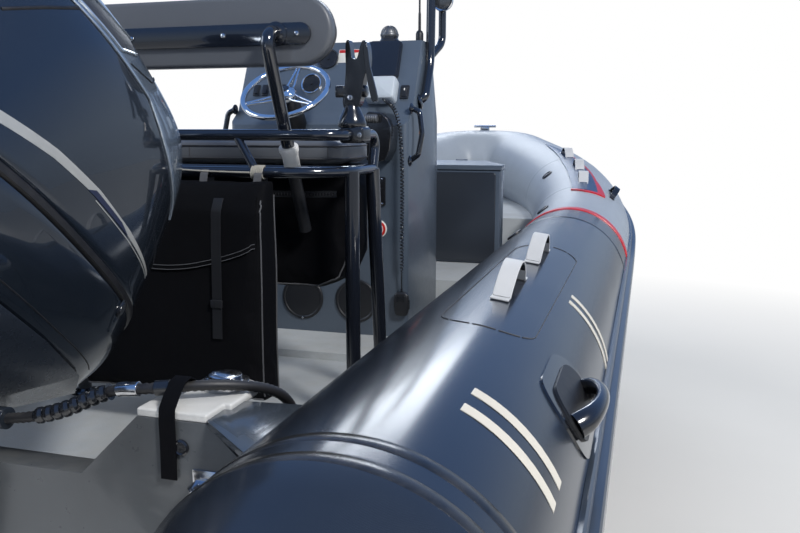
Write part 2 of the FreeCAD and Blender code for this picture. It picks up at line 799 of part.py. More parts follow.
def seat_bag():
    """Fabric bag that hangs under the seat."""
    top = RING_Z - RAIL_R - SOFT_GAP
    half = 448
    profile = [(-half, top), (-half, 1390), (-half + 35, 1310), (-half + 110, 1275),
               (half - 110, 1275), (half - 35, 1310), (half, 1390), (half, top)]
    return along_y(profile, -1640, -1430)


def rod_holder():
    """Clamp, domed base, knob, open fork and lever for a rod, on the starboard rail."""
    x = POST_X
    y = ROD_Y
    clamp = box((x - 30, x + 45), (y - 33, y + 33), (RAIL_Z - 24, RAIL_Z + 25))
    dome = Part.makeCone(42, 22, 60, Vector(x - 1, y, RAIL_Z + 24))
    knob = rod((x - 46, y, RAIL_Z + 123), (x + 46, y, RAIL_Z + 123), 18)
    fork = [(-21, 78), (-17, 138), (-13, 186), (-13, 253), (-4, 267), (1, 247), (5, 219),
            (13, 213), (22, 217), (31, 247), (40, 265), (53, 250), (55, 197), (41, 153), (26, 83)]
    cradle = along_y([(x + dx, RAIL_Z + dz) for dx, dz in fork], y - 18, y + 18)
    blade = [(43, 245), (56, 245), (64, 191), (86, 103), (77, 95), (67, 99), (51, 173)]
    lever = along_y([(x + dx, RAIL_Z + dz) for dx, dz in blade], y - 28, y - 17)
    return joined([clamp, dome, knob, cradle, lever])


# Microphone cord: one fat tube round the coils, from the radio to the hand piece.
MIC_CORD_R = 9.0
MIC_ROUTE = [
    (240, -758, 1912),
    (318, -815, 1888),
    (366, -861, 1815),
    (379, -872, 1700),
    (382, -874, 1540),
    (379, -872, 1380),
    (378, -868, 1250),
    (372, -851.3, 1138),
]


def route_radii(points, radius):
    """Bend radius at each corner: 0.45 of the shorter run over tan of half the turn."""
    pts = [point(p) for p in points]
    radii = []
    for i in range(1, len(pts) - 1):
        a = pts[i] - pts[i - 1]
        b = pts[i + 1] - pts[i]
        turn = a.getAngle(b)
        radii.append(0.45 * min(a.Length, b.Length) / math.tan(turn / 2))
    print("bend radii in diameters", [round(r / radius / 2, 1) for r in radii])
    return radii


def mic_cord(ends):
    cord = bent_rod(MIC_ROUTE, MIC_CORD_R, route_radii(MIC_ROUTE, MIC_CORD_R))
    return cord.cut(ends)


def microphone():
    x, y, z = MIC_ROUTE[-1]
    body = box((x - 34, x + 34), (y - 16, y + 16), (z - 112, z - 12))
    body = rounded(body, 22, Vector(0, 1, 0))
    neck = rod((x, y, z - 14), (x, y, z), 9)
    return body.fuse(neck)


# Rigging hoses from the stern quarter to the steering ram's end.
HOSE_R = 10.0
HOSE_ROUTE = [
    (236, TILT_Y, TILT_Z),
    (330, TILT_Y - 6, 1288),
    (440, TILT_Y + 22, 1342),
    (510, TILT_Y + 14, 1350),
    (625, TILT_Y + 54, 1358),
    (692, TILT_Y + 144, 1330),
    (690, TILT_Y + 234, 1260),
    (668, TILT_Y + 300, 1160),
    (660, TILT_Y + 370, 1040),
    (654, TILT_Y + 424, 890),
]


def rigging_hose(ends):
    hose = bent_rod(HOSE_ROUTE, HOSE_R, route_radii(HOSE_ROUTE, HOSE_R))
    return hose.cut(ends)


def grab_straps():
    """Webbing grab straps that arch off the tube top."""
    shapes = []
    tube = Part.makeCylinder(TUBE_R, 900, Vector(TUBE_X, -2400, TUBE_Z), Vector(0, 1, 0))
    for y in STRAP_YS:
        arch = along_x([(y - 130, 0), (y - 95, 48), (y - 45, 72), (y + 45, 72), (y + 95, 48),
                        (y + 130, 0), (y + 118, 0), (y + 90, 40), (y + 43, 64), (y - 43, 64),
                        (y - 90, 40), (y - 118, 0)], -30, 30)
        turn = Rotation(Vector(0, 1, 0), 8)
        crown = Vector(TUBE_X, 0, TUBE_Z) + turn.multVec(Vector(0, 0, TUBE_R))
        arch.Placement = Placement(crown, turn)
        shapes.append(arch.cut(tube))
    return group([pair(s) for s in shapes])


def lift_handles():
    """Moulded carrying handles on the outboard side of each tube."""
    y = HANDLE_Y
    turn = Rotation(Vector(0, 1, 0), 58)
    bar = bent_rod([(0, y - 110, -4), (0, y - 80, 52), (0, y + 80, 52), (0, y + 110, -4)], 16, 34)
    foot = box((-52, 52), (y - 150, y + 150), (-8, 10))
    foot = rounded(foot, 50, Vector(0, 0, 1))
    handle = joined([bar, foot])
    handle.Placement = Placement(Vector(TUBE_X, 0, TUBE_Z) + turn.multVec(Vector(0, 0, TUBE_R)), turn)
    tube = Part.makeCylinder(TUBE_R, 900, Vector(TUBE_X, -2900, TUBE_Z), Vector(0, 1, 0))
    return pair(handle.cut(tube))


def tilted(shape):
    """Move a piece drawn with the engine down to its tilted-up place."""
    out = shape.copy()
    out.rotate(Vector(0, TILT_Y, TILT_Z), Vector(-1, 0, 0), TILT_UP)
    return out


def clamp_bracket():
    """Two side plates hooked over the transom, tilt tube and lower ram pin."""
    front = TRANSOM_FRONT
    aft = TRANSOM_AFT
    profile = [(front + 40, WELL_Z - 90), (front + 40, WELL_Z + 30), (TILT_Y + 42, TILT_Z + 42),
               (TILT_Y - 42, TILT_Z + 42), (aft - 75, WELL_Z + 20), (aft - 75, RAM_FOOT_Z - 60),
               (aft, RAM_FOOT_Z - 110), (aft, WELL_Z), (front, WELL_Z), (front, WELL_Z - 90)]
    plate = along_x(profile, CLAMP_IN, CLAMP_OUT)
    tube = rod((-236, TILT_Y, TILT_Z), (236, TILT_Y, TILT_Z), TILT_TUBE_R)
    pin = rod((-CLAMP_OUT, RAM_FOOT_Y, RAM_FOOT_Z), (CLAMP_OUT, RAM_FOOT_Y, RAM_FOOT_Z), 12)
    return joined([plate, mirrored(plate), tube, pin])


def swivel_bracket():
    """Barrel on the tilt tube, steering column and the forked lug of the tilt ram."""
    half = CLAMP_IN - 6
    barrel = rod((-half, TILT_Y, TILT_Z), (half, TILT_Y, TILT_Z), 42)
    column = rod((0, STEER_Y, COLUMN_Z0), (0, STEER_Y, COLUMN_Z1), COLUMN_R)
    arm = box((-62, 62), (STEER_Y, TILT_Y - 8), (TILT_Z - 32, TILT_Z + 22))
    cheeks = []
    for side in (-1, 1):
        near = side * 14
        far = side * 30
        xs = (min(near, far), max(near, far))
        cheeks.append(box(xs, (STEER_Y + 20, RAM_EYE_Y + 28), (RAM_EYE_Z - 26, TILT_Z)))
    solid = joined([barrel, column, arm] + cheeks)
    bore = rod((-half - 5, TILT_Y, TILT_Z), (half + 5, TILT_Y, TILT_Z), TILT_TUBE_R + SHAFT_CLEAR)
    pin = rod((0, STEER_Y, COLUMN_Z0 - 5), (0, STEER_Y, COLUMN_Z1 + 5), STEER_PIN_R + SHAFT_CLEAR)
    return tilted(solid.cut(bore).cut(pin))


def ram_eye_rest():
    spot = tilted(Part.Vertex(0, RAM_EYE_Y, RAM_EYE_Z))
    return spot.Point


def ram_line():
    foot = Vector(0, RAM_FOOT_Y, RAM_FOOT_Z)
    return foot, (ram_eye_rest() - foot).normalize()


def tilt_barrel():
    foot, ahead = ram_line()
    barrel = Part.makeCylinder(RAM_R, RAM_BARREL_LEN - 30, foot + ahead * 30, ahead)
    knuckle = rod((-26, RAM_FOOT_Y, RAM_FOOT_Z), (26, RAM_FOOT_Y, RAM_FOOT_Z), 24)
    neck = Part.makeCylinder(18, 34, foot + ahead * 8, ahead)
    pin = rod((-40, RAM_FOOT_Y, RAM_FOOT_Z), (40, RAM_FOOT_Y, RAM_FOOT_Z), 12 + SHAFT_CLEAR)
    bore = Part.makeCylinder(RAM_ROD_R + SHAFT_CLEAR, RAM_BARREL_LEN, foot + ahead * 46, ahead)
    return joined([barrel, knuckle, neck]).cut(pin).cut(bore)


def tilt_rod():
    foot, ahead = ram_line()
    eye = ram_eye_rest()
    shaft = Part.makeCylinder(RAM_ROD_R, (eye - foot).Length - 155, foot + ahead * 150, ahead)
    head = Part.makeCylinder(18, 18, eye - Vector(9, 0, 0), Vector(1, 0, 0))
    return shaft.fuse(head)


# Cowl outlines with the engine down: z, half width, nose and tail from the king pin,
# nose half width.
COWL_SECTIONS = [
    (COWL_BOTTOM, 196.0, 470.0, -185.0, 95.0),
    (1560.0, 232.0, 518.0, -245.0, 112.0),
    (1900.0, 232.0, 530.0, -260.0, 110.0),
    (2100.0, 200.0, 495.0, -210.0, 95.0),
    (2205.0, 120.0, 370.0, -80.0, 60.0),
]


def cowl_outline(z, half, nose_run, tail_run, nose_half):
    nose = STEER_Y + nose_run
    tail = STEER_Y + tail_run
    length = nose - tail
    wide = [(nose_half, nose), (half * 0.88, nose - 0.16 * length), (half, nose - 0.4 * length),
            (half * 0.97, nose - 0.72 * length), (half * 0.62, tail + 0.03 * length),
            (half * 0.3, tail)]
    ring_points = wide + [(-x, y) for x, y in reversed(wide)]
    return Part.makePolygon([Vector(x, y, z) for x, y in ring_points + ring_points[:1]])


def engine_cowl():
    wires = [cowl_outline(*section) for section in COWL_SECTIONS]
    return tilted(Part.makeLoft(wires, True, True))


def engine_trim():
    """Raised inlet trim across the top rear of the cowl."""
    top = COWL_SECTIONS[3]
    z = top[0]
    lower = cowl_outline(z - 60, top[1] + 12, top[2] - 330, top[3] - 10, top[4] + 60)
    upper = cowl_outline(z + 60, top[1] - 22, top[2] - 360, top[3] + 60, top[4] + 40)
    block = Part.makeLoft([lower, upper], True, True)
    wires = [cowl_outline(*section) for section in COWL_SECTIONS]
    return tilted(block.cut(Part.makeLoft(wires, True, True)))


def engine_leg():
    """Lower pan, steering yokes with the king pin, and the midsection."""
    pan_low = cowl_outline(LEG_TOP, 150.0, 330.0, -160.0, 80.0)
    pan_high = cowl_outline(COWL_BOTTOM, 205.0, 480.0, -195.0, 100.0)
    pan = Part.makeLoft([pan_low, pan_high], True, True)
    rear = STEER_Y - COLUMN_R - 8
    mid = Part.makeLoft([
        Part.makePolygon([Vector(*p) for p in leg_outline(PLATE_Z, rear, 55, 250)]),
        Part.makePolygon([Vector(*p) for p in leg_outline(LEG_TOP, rear, 95, 300)]),
    ], True, True)
    yokes = []
    for z0, z1 in ((COLUMN_Z0 - 50, COLUMN_Z0 - 6), (COLUMN_Z1 + 6, LEG_TOP)):
        yokes.append(box((-50, 50), (rear - 20, STEER_Y), (z0, z1)))
        yokes.append(Part.makeCylinder(50, z1 - z0, Vector(0, STEER_Y, z0)))
    pin = rod((0, STEER_Y, COLUMN_Z0 - 40), (0, STEER_Y, COLUMN_Z1 + 20), STEER_PIN_R)
    return tilted(joined([pan, mid, pin] + yokes))


def leg_outline(z, front, half, length):
    points = [(half, front, z), (half, front - length * 0.7, z), (half * 0.35, front - length, z)]
    points += [(-x, y, z) for x, y, _ in reversed(points)]
    return points + points[:1]


def gearcase():
    """Splash plate, gear torpedo and skeg."""
    rear = STEER_Y - COLUMN_R - 8
    plate = along_z([(45, rear + 25), (135, rear - 110), (140, rear - 330), (60, rear - 410),
                     (-60, rear - 410), (-140, rear - 330), (-135, rear - 110), (-45, rear + 25)],
                    PLATE_Z - 14, PLATE_Z)
    strut = Part.makeLoft([
        Part.makePolygon([Vector(*p) for p in leg_outline(PROP_Z, rear + 30, 24, 280)]),
        Part.makePolygon([Vector(*p) for p in leg_outline(PLATE_Z - 14, rear + 10, 48, 290)]),
    ], True, True)
    torpedo = rod((0, rear + 20, PROP_Z), (0, PROP_Y0 + 6, PROP_Z), 56)
    nose = Part.makeCone(56, 16, 90, Vector(0, rear + 20, PROP_Z), Vector(0, 1, 0))
    skeg = along_x([(rear - 40, PROP_Z - 40), (rear - 130, 175), (rear - 215, 168),
                    (rear - 235, PROP_Z - 40)], -7, 7)
    shaft = rod((0, PROP_Y0 + 20, PROP_Z), (0, PROP_Y1 + 20, PROP_Z), PROP_SHAFT_R)
    return tilted(joined([plate, strut, torpedo, nose, skeg, shaft]))


def propeller():
    hub = rod((0, PROP_Y0, PROP_Z), (0, PROP_Y1, PROP_Z), PROP_HUB_R)
    middle = (PROP_Y0 + PROP_Y1) / 2
    blades = []
    for degrees in (90, 210, 330):
        blade = box((-46, 46), (-52, 52), (-4.5, 4.5))
        blade = rounded(blade, 38, Vector(0, 0, 1))
        blade.rotate(Vector(0, 0, 0), Vector(0, 1, 0), 90)
        blade.rotate(Vector(0, 0, 0), Vector(0, 0, 1), 55)
        blade.translate(Vector(0, 0, PROP_R - 46))
        stem = box((-6, 6), (-30, 30), (20, PROP_R - 70))
        stem.rotate(Vector(0, 0, 0), Vector(0, 0, 1), 55)
        fin = blade.fuse(stem)
        fin.translate(Vector(0, middle, PROP_Z))
        fin.rotate(Vector(0, middle, PROP_Z), Vector(0, 1, 0), degrees - 90)
        blades.append(fin)
    solid = joined([hub] + blades)
    bore = rod((0, PROP_Y0 + 5, PROP_Z), (0, PROP_Y1 + 15, PROP_Z), PROP_SHAFT_R + SHAFT_CLEAR)
    return tilted(solid.cut(bore))


def hull_bottom_z(x):
    """Height of the hull's bottom above the ground at x, at the stern."""
    _, keel, chine_x, chine_z, _, _ = HULL_STATIONS[0]
    return keel + (chine_z - keel) * abs(x) / chine_x


def bunks(hull):
    """Two carpeted bearers, sloped and trimmed to the hull's bottom."""
    slope = math.degrees(math.atan2(hull_bottom_z(100) - hull_bottom_z(0), 100.0))
    board = box((-BUNK_W / 2, BUNK_W / 2), (CROSS_YS[0] - 60, CROSS_YS[2] + 60), (-BUNK_T, 14))
    board = board.copy()
    board.rotate(Vector(0, 0, 0), Vector(0, 1, 0), -slope)
    board.translate(Vector(BUNK_X, 0, hull_bottom_z(BUNK_X)))
    return pair(board.cut(hull))


def keel_roller(y, keel_z):
    centre_z = keel_z - ROLLER_R - SOFT_GAP
    roller = rod((-55, y, centre_z), (55, y, centre_z), ROLLER_R)
    return roller


def rollers():
    shapes = [keel_roller(y, HULL_STATIONS[0][1]) for y in CROSS_YS[:3]]
    stem = stem_roller_centre()
    shapes.append(rod((-60, stem.y, stem.z), (60, stem.y, stem.z), 35))
    return group(shapes)


def stem_roller_centre():
    a = HULL_STATIONS[-2]
    b = HULL_STATIONS[-1]
    low = Vector(0, a[0], a[1])
    run = Vector(0, b[0] - a[0], b[1] - a[1])
    spot = low + run * 0.4
    out = Vector(0, run.z, -run.y).normalize()
    return spot + out * (35 + SOFT_GAP)


def trailer_frame(bearers):
    """Side rails, crossmembers, drawbar, coupler, bunk posts, roller cheeks."""
    half = FRAME_W / 2
    rail = box((FRAME_X - half, FRAME_X + half), (FRAME_AFT, FRAME_BEND), (FRAME_Z0, FRAME_Z1))
    run = along_z([(FRAME_X - half, FRAME_BEND), (FRAME_X + half, FRAME_BEND),
                   (DRAWBAR_HALF + 2, FRAME_NOSE), (DRAWBAR_HALF - 38, FRAME_NOSE)],
                  FRAME_Z0, FRAME_Z1)
    shapes = [rail, mirrored(rail), run, mirrored(run)]
    shapes.append(box((-DRAWBAR_HALF, DRAWBAR_HALF), (900, COUPLER_Y - 230), (DRAWBAR_Z0, DRAWBAR_Z1)))
    for y in CROSS_YS:
        shapes.append(box((-FRAME_X, FRAME_X), (y - 30, y + 30), (FRAME_Z0 - 60, FRAME_Z0)))
    for y in CROSS_YS[:3]:
        for x in (-70, 58):
            shapes.append(box((x, x + 12), (y - 25, y + 25), (FRAME_Z0, 500)))
        axle = HULL_STATIONS[0][1] - ROLLER_R - SOFT_GAP
        shapes.append(rod((-64, y, axle), (64, y, axle), 9))
        post = box((BUNK_X - 25, BUNK_X + 25), (y - 25, y + 25),
                   (FRAME_Z0 - 60, hull_bottom_z(BUNK_X) - BUNK_T / 2))
        shapes += [post, mirrored(post)]
    shapes.append(box((-900, 900), (FRAME_AFT, FRAME_AFT + 40), (FRAME_Z0, FRAME_Z0 + 50)))
    frame = joined(shapes)
    return frame.cut(bearers)


def coupler():
    """Pressed coupler head with its ball socket and hand lever."""
    y = COUPLER_Y
    head = box((-48, 48), (y - 240, y - 70), (DRAWBAR_Z0 + 5, DRAWBAR_Z1 + 12))
    nose = Part.makeCylinder(52, 78, Vector(0, y - 52, DRAWBAR_Z0 + 2))
    web = box((-40, 40), (y - 110, y - 52), (DRAWBAR_Z0 + 2, DRAWBAR_Z0 + 80))
    lever = bent_rod([(0, y - 180, DRAWBAR_Z1 + 8), (0, y - 190, DRAWBAR_Z1 + 48),
                      (0, y - 70, DRAWBAR_Z1 + 62)], 9, 14)
    solid = joined([head, nose, web, lever])
    socket = Part.makeSphere(26, Vector(0, y - 52, DRAWBAR_Z0 + 18))
    throat = Part.makeCylinder(26, 30, Vector(0, y - 52, DRAWBAR_Z0 - 12))
    drawbar = box((-DRAWBAR_HALF, DRAWBAR_HALF), (900, COUPLER_Y - 230), (DRAWBAR_Z0, DRAWBAR_Z1))
    return solid.cut(socket).cut(throat).cut(drawbar)


def trailer_axle():
    """Axle beam with its hangers, drums and wheel spindles."""
    beam = box((-880, 880), (AXLE_Y - 30, AXLE_Y + 30), (TYRE_R - 30, TYRE_R + 30))
    shapes = [beam]
    for side in (-1, 1):
        x0 = side * (FRAME_X - 24)
        x1 = side * (FRAME_X + 24)
        shapes.append(box((min(x0, x1), max(x0, x1)), (AXLE_Y - 70, AXLE_Y + 70),
                          (TYRE_R + 20, FRAME_Z0)))
        shapes.append(rod((side * 860, AXLE_Y, TYRE_R), (side * 940, AXLE_Y, TYRE_R), 115))
        shapes.append(rod((side * 930, AXLE_Y, TYRE_R), (side * 1085, AXLE_Y, TYRE_R), SPINDLE_R))
    return joined(shapes)


def tyre():
    """One tyre, centred on its own hub line."""
    half = TYRE_W / 2
    profile = [(half * 0.78, RIM_R), (half, RIM_R + 40), (half, TYRE_R - 45), (half * 0.78, TYRE_R)]
    outline = profile + [(-x, r) for x, r in reversed(profile)]
    face = polygon([(x, 0, r) for x, r in outline])
    return face.revolve(Vector(0, 0, 0), Vector(1, 0, 0), 360)


def rim():
    """Steel wheel: drop well, disc and hub."""
    half = TYRE_W / 2 * 0.78
    profile = [(-half, RIM_R), (half, RIM_R), (half, RIM_R - 8), (30, RIM_R - 22), (30, 60),
               (62, 55), (62, SPINDLE_R + SHAFT_CLEAR), (-60, SPINDLE_R + SHAFT_CLEAR),
               (-60, 60), (16, 66), (16, RIM_R - 26), (-half, RIM_R - 10)]
    face = polygon([(x, 0, r) for x, r in profile])
    solid = face.revolve(Vector(0, 0, 0), Vector(1, 0, 0), 360)
    for i in range(5):
        degrees = 72 * i
        spot = Rotation(Vector(1, 0, 0), degrees).multVec(Vector(0, 0, 112))
        solid = solid.cut(Part.makeCylinder(22, 60, spot + Vector(-5, 0, 0), Vector(1, 0, 0)))
    return solid


def on_axle(shape, side):
    out = shape.copy()
    if side < 0:
        out = mirrored(out)
    out.translate(Vector(side * TYRE_X, AXLE_Y, TYRE_R))
    return out


def fenders():
    """Arched mudguards, each with two arms to the frame."""
    inner = TYRE_X - TYRE_W / 2 - 14
    outer = TYRE_X + TYRE_W / 2 + 14
    near = Vector(inner, AXLE_Y, TYRE_R)
    outward = Vector(1, 0, 0)
    shell = Part.makeCylinder(FENDER_R + FENDER_T, outer - inner, near, outward)
    hollow = Part.makeCylinder(FENDER_R, outer - inner, near, outward)
    lower = box((inner - 1, outer + 1), (AXLE_Y - 500, AXLE_Y + 500), (-200, TYRE_R + 70))
    arch = shell.cut(hollow).cut(lower)
    arms = []
    for sign in (-1, 1):
        y = AXLE_Y + sign * (FENDER_R - 6)
        ys = (min(y, y + sign * 30), max(y, y + sign * 30))
        arms.append(box((FRAME_X + FRAME_W / 2, outer), ys, (TYRE_R + 72, TYRE_R + 104)))
    return pair(joined([arch] + arms))


def trailer_lamps():
    """Rear lamps on the light bar and the bare plate panel."""
    shapes = []
    for side in (-1, 1):
        x0 = side * 740
        x1 = side * 890
        shapes.append(box((min(x0, x1), max(x0, x1)), (FRAME_AFT - 45, FRAME_AFT),
                          (FRAME_Z0 - 25, FRAME_Z0 + 75)))
    shapes.append(box((-620, -380), (FRAME_AFT - 6, FRAME_AFT), (FRAME_Z0 - 70, FRAME_Z0 + 50)))
    return group(shapes)


def winch_post():
    """Post, winch, stem roller arms and the strap to the bow eye."""
    stem = stem_roller_centre()
    post = box((-32, 32), (WINCH_Y - 32, WINCH_Y + 32), (DRAWBAR_Z1, 1030))
    foot = box((-60, 60), (WINCH_Y - 90, WINCH_Y + 90), (DRAWBAR_Z1, DRAWBAR_Z1 + 12))
    shapes = [post, foot]
    for x in (-74, 64):
        arm = along_x([(WINCH_Y - 30, 940), (WINCH_Y + 30, 1000), (WINCH_Y + 20, 1040),
                       (stem.y - 12, stem.z + 26), (stem.y - 20, stem.z - 22)], x, x + 10)
        shapes.append(arm)
    shapes.append(box((-74, 74), (WINCH_Y - 25, WINCH_Y + 25), (955, 1000)))
    shapes.append(rod((-70, stem.y, stem.z), (70, stem.y, stem.z), 10))
    shapes.append(box((-52, -44), (WINCH_Y - 150, WINCH_Y), (840, 960)))
    shapes.append(box((44, 52), (WINCH_Y - 150, WINCH_Y), (840, 960)))
    shapes.append(rod((-50, WINCH_Y - 95, 905), (120, WINCH_Y - 95, 905), 36))
    shapes.append(rod((112, WINCH_Y - 95, 905), (112, WINCH_Y - 95, 1080), 8))
    shapes.append(rod((108, WINCH_Y - 95, 1076), (190, WINCH_Y - 95, 1076), 15))
    strap = along_x([(2532, 898), (2532, 904), (WINCH_Y - 100, 940), (WINCH_Y - 100, 934)], -24, 24)
    hook = box((-24, 24), (2530.3, 2550), (880, 920))
    shapes += [strap, hook]
    return joined(shapes)


def jack():
    """Tongue jack: clamp, tube, inner leg, foot and crank."""
    x = DRAWBAR_HALF + JACK_X - 40
    clamp = box((DRAWBAR_HALF, x), (JACK_Y - 45, JACK_Y + 45), (DRAWBAR_Z0 + 5, DRAWBAR_Z1 - 5))
    tube = rod((x, JACK_Y, 260), (x, JACK_Y, 860), 30)
    leg = rod((x, JACK_Y, 8), (x, JACK_Y, 270), 23)
    foot = rod((x, JACK_Y, 0), (x, JACK_Y, 12), 85)
    crank = bent_rod([(x, JACK_Y, 855), (x, JACK_Y, 905), (x + 130, JACK_Y, 905)], 8, 14)
    grip = rod((x + 122, JACK_Y, 895), (x + 122, JACK_Y, 990), 15)
    return joined([clamp, tube, leg, foot, crank, grip])


def save(name, shape):
    shape.exportStep("parts/" + name + ".step")
    b = shape.BoundBox
    size = [round(v) for v in (b.XMin, b.XMax, b.YMin, b.YMax, b.ZMin, b.ZMax)]
    print(name, len(shape.Solids), shape.isValid(), size, round(shape.Volume / 1e6, 2))


def main():
    os.makedirs("parts", exist_ok=True)
    tubes = whole_tube_cutter()
    hull_raw = hull_solid()
    hull = trimmed(hull_raw, tubes)
    strakes = rub_strakes()
    save("hull", hull)
    board = transom(tubes)
    save("transom", board)
    trim = transom_trim()
    save("transom_trim", trim)
    save("stern_gussets", stern_gussets(tubes, [board, trim]))
    save("metal_fittings", metal_fittings(hull_raw))
    deck = cockpit_deck(tubes)
    save("cockpit_deck", deck)
    platform = forward_platform(tubes)
    save("forward_platform", platform)
    save("bow_deck", bow_deck(tubes))
    save("bow_hatch_lid", bow_hatch_lid())
    save("bow_locker", bow_locker())
    save("locker_lid", locker_lid())
    save("bow_locker_panel", locker_panel())
    starboard = side_tube()
    save("tube_starboard", starboard)
    save("tube_port", mirrored(starboard))
    save("bow_tube", bow_tube())
    save("rub_strakes", strakes)
    save("red_bands", red_bands([strakes, hull, platform]))
    save("grab_straps", grab_straps())
    save("lift_handles", lift_handles())
    body = console()
    save("console", body)
    instruments = dash_instruments()
    save("dash_instruments", instruments)
    save("compass", compass())
    save("console_fittings", console_fittings(body))
    save("control_box", control_box(body))
    rails = console_rails(body)
    save("console_rails", rails)
    save("mast_light", mast_light().cut(rails))
    save("whip_antenna", whip_antenna())
    save("steering_wheel", steering_wheel())
    seat = seat_frame().cut(deck)
    save("seat_frame", seat)
    save("seat_cushion", seat_cushion())
    save("backrest", backrest())
    save("stowage_bag", stowage_bag())
    save("seat_bag", seat_bag())
    save("rod_holder", rod_holder().cut(seat))
    mic = microphone()
    save("mic_cord", mic_cord([instruments, mic]))
    save("microphone", mic)
    clamps = clamp_bracket()
    save("rigging_hose", rigging_hose([deck, hull, clamps]))
    save("clamp_bracket", clamps)
    save("swivel_bracket", swivel_bracket())
    save("tilt_barrel", tilt_barrel())
    save("tilt_rod", tilt_rod())
    save("engine_cowl", engine_cowl())
    save("engine_trim", engine_trim())
    save("engine_leg", engine_leg())
    save("gearcase", gearcase())
    save("propeller", propeller())
    bearers = bunks(hull_raw)
    save("bunks", bearers)
    frame = trailer_frame(bearers)
    post = winch_post()
    save("trailer_frame", frame)
    save("winch_post", post)
    save("keel_rollers", rollers().cut([frame, post]))
    save("coupler", coupler())
    save("trailer_axle", trailer_axle())
    for side, label in ((-1, "port"), (1, "starboard")):
        save("tyre_" + label, on_axle(tyre(), side))
        save("rim_" + label, on_axle(rim(), side))
    save("fenders", fenders())
    save("trailer_lamps", trailer_lamps())
    save("jack", jack())


main()
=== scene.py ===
import json
import math
from math import cos, hypot, pi, radians, sin

import bmesh
import bpy
from mathutils import Matrix, Quaternion, Vector, noise
from mathutils.bvhtree import BVHTree


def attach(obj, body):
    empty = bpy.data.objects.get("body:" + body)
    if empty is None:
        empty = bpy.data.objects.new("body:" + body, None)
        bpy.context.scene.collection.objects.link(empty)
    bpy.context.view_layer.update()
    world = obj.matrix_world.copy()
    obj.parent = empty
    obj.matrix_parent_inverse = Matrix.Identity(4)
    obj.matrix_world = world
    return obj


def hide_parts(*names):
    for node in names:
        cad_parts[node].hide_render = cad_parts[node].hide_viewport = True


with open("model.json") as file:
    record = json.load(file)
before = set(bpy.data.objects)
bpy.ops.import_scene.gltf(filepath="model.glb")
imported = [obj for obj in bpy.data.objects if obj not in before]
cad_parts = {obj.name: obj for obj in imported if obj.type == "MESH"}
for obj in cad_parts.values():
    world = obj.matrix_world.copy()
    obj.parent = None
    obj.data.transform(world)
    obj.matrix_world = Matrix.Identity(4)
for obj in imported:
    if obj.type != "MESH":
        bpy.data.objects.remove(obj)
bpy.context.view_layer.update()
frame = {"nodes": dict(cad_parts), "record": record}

# Looks of a rigid hull inflatable boat on its road trailer. Metres, X to starboard,
# Y towards the bow, Z up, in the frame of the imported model.

BOAT = "boat_and_trailer"
ENGINE = "outboard"
TURN = 2 * pi

# Threads in a metre of the coated fabrics.
THREADS = 2600.0

# Tube line, as in the part: straight side, rise, sweep, run, nose, middle of the bow.
TUBE_R = 0.275
TUBE_X = 0.965
TUBE_Z = 1.13
TUBE_AFT = -3.17
CONE_LEN = 0.4
CONE_TIP_R = 0.125
BAND_Y = 0.01
BEND_Y = 0.05
RISE_R = 3.0
RISE = radians(8)
SWEEP_R = 4.0
SWEEP = radians(26)
NOSE_R = 0.36
HALF_NOSE = 0.03
RUN_IN = (TUBE_X - SWEEP_R * (1 - cos(SWEEP)) - NOSE_R * cos(SWEEP) - HALF_NOSE) / sin(SWEEP)
TUBE_STEPS = [("rise", RISE_R, RISE), ("turn", SWEEP_R, SWEEP), ("line", RUN_IN, 0.0),
    ("turn", NOSE_R, pi / 2 - SWEEP), ("line", HALF_NOSE, 0.0), ]
BOW_S = BEND_Y + RISE_R * RISE + SWEEP_R * SWEEP + RUN_IN + NOSE_R * (pi / 2 - SWEEP)
BOW_S += HALF_NOSE

# Engine: drawn upright, then tilted about the tilt tube.
TILT = Vector((0, -2.86, 1.275))
TILT_TURN = Matrix.Rotation(radians(-42), 4, "X")
TILTED = Matrix.Translation(TILT) @ TILT_TURN @ Matrix.Translation(-TILT)

# Steering wheel.
WHEEL = Vector((-0.088, -0.93, 1.93))
WHEEL_R = 0.174
WHEEL_AXIS = Vector((0, -cos(radians(53)), sin(radians(53))))

# Console profile.
CONSOLE_AFT = -0.835
LEDGE = Vector((0, -0.755, 1.86))
ROOF_Z = 2.145
ROOF = Vector((0, -0.62, ROOF_Z))


def shifted(offset):
    return Matrix.Translation(offset)


def in_scene(made):
    bpy.context.scene.collection.objects.link(made)


def span(a, b, count):
    """Evenly spread values from a to b, both included."""
    return [a + (b - a) * k / count for k in range(count + 1)]


# Shader groups.

def socket_value(node, name, value):
    node.inputs[name].default_value = value


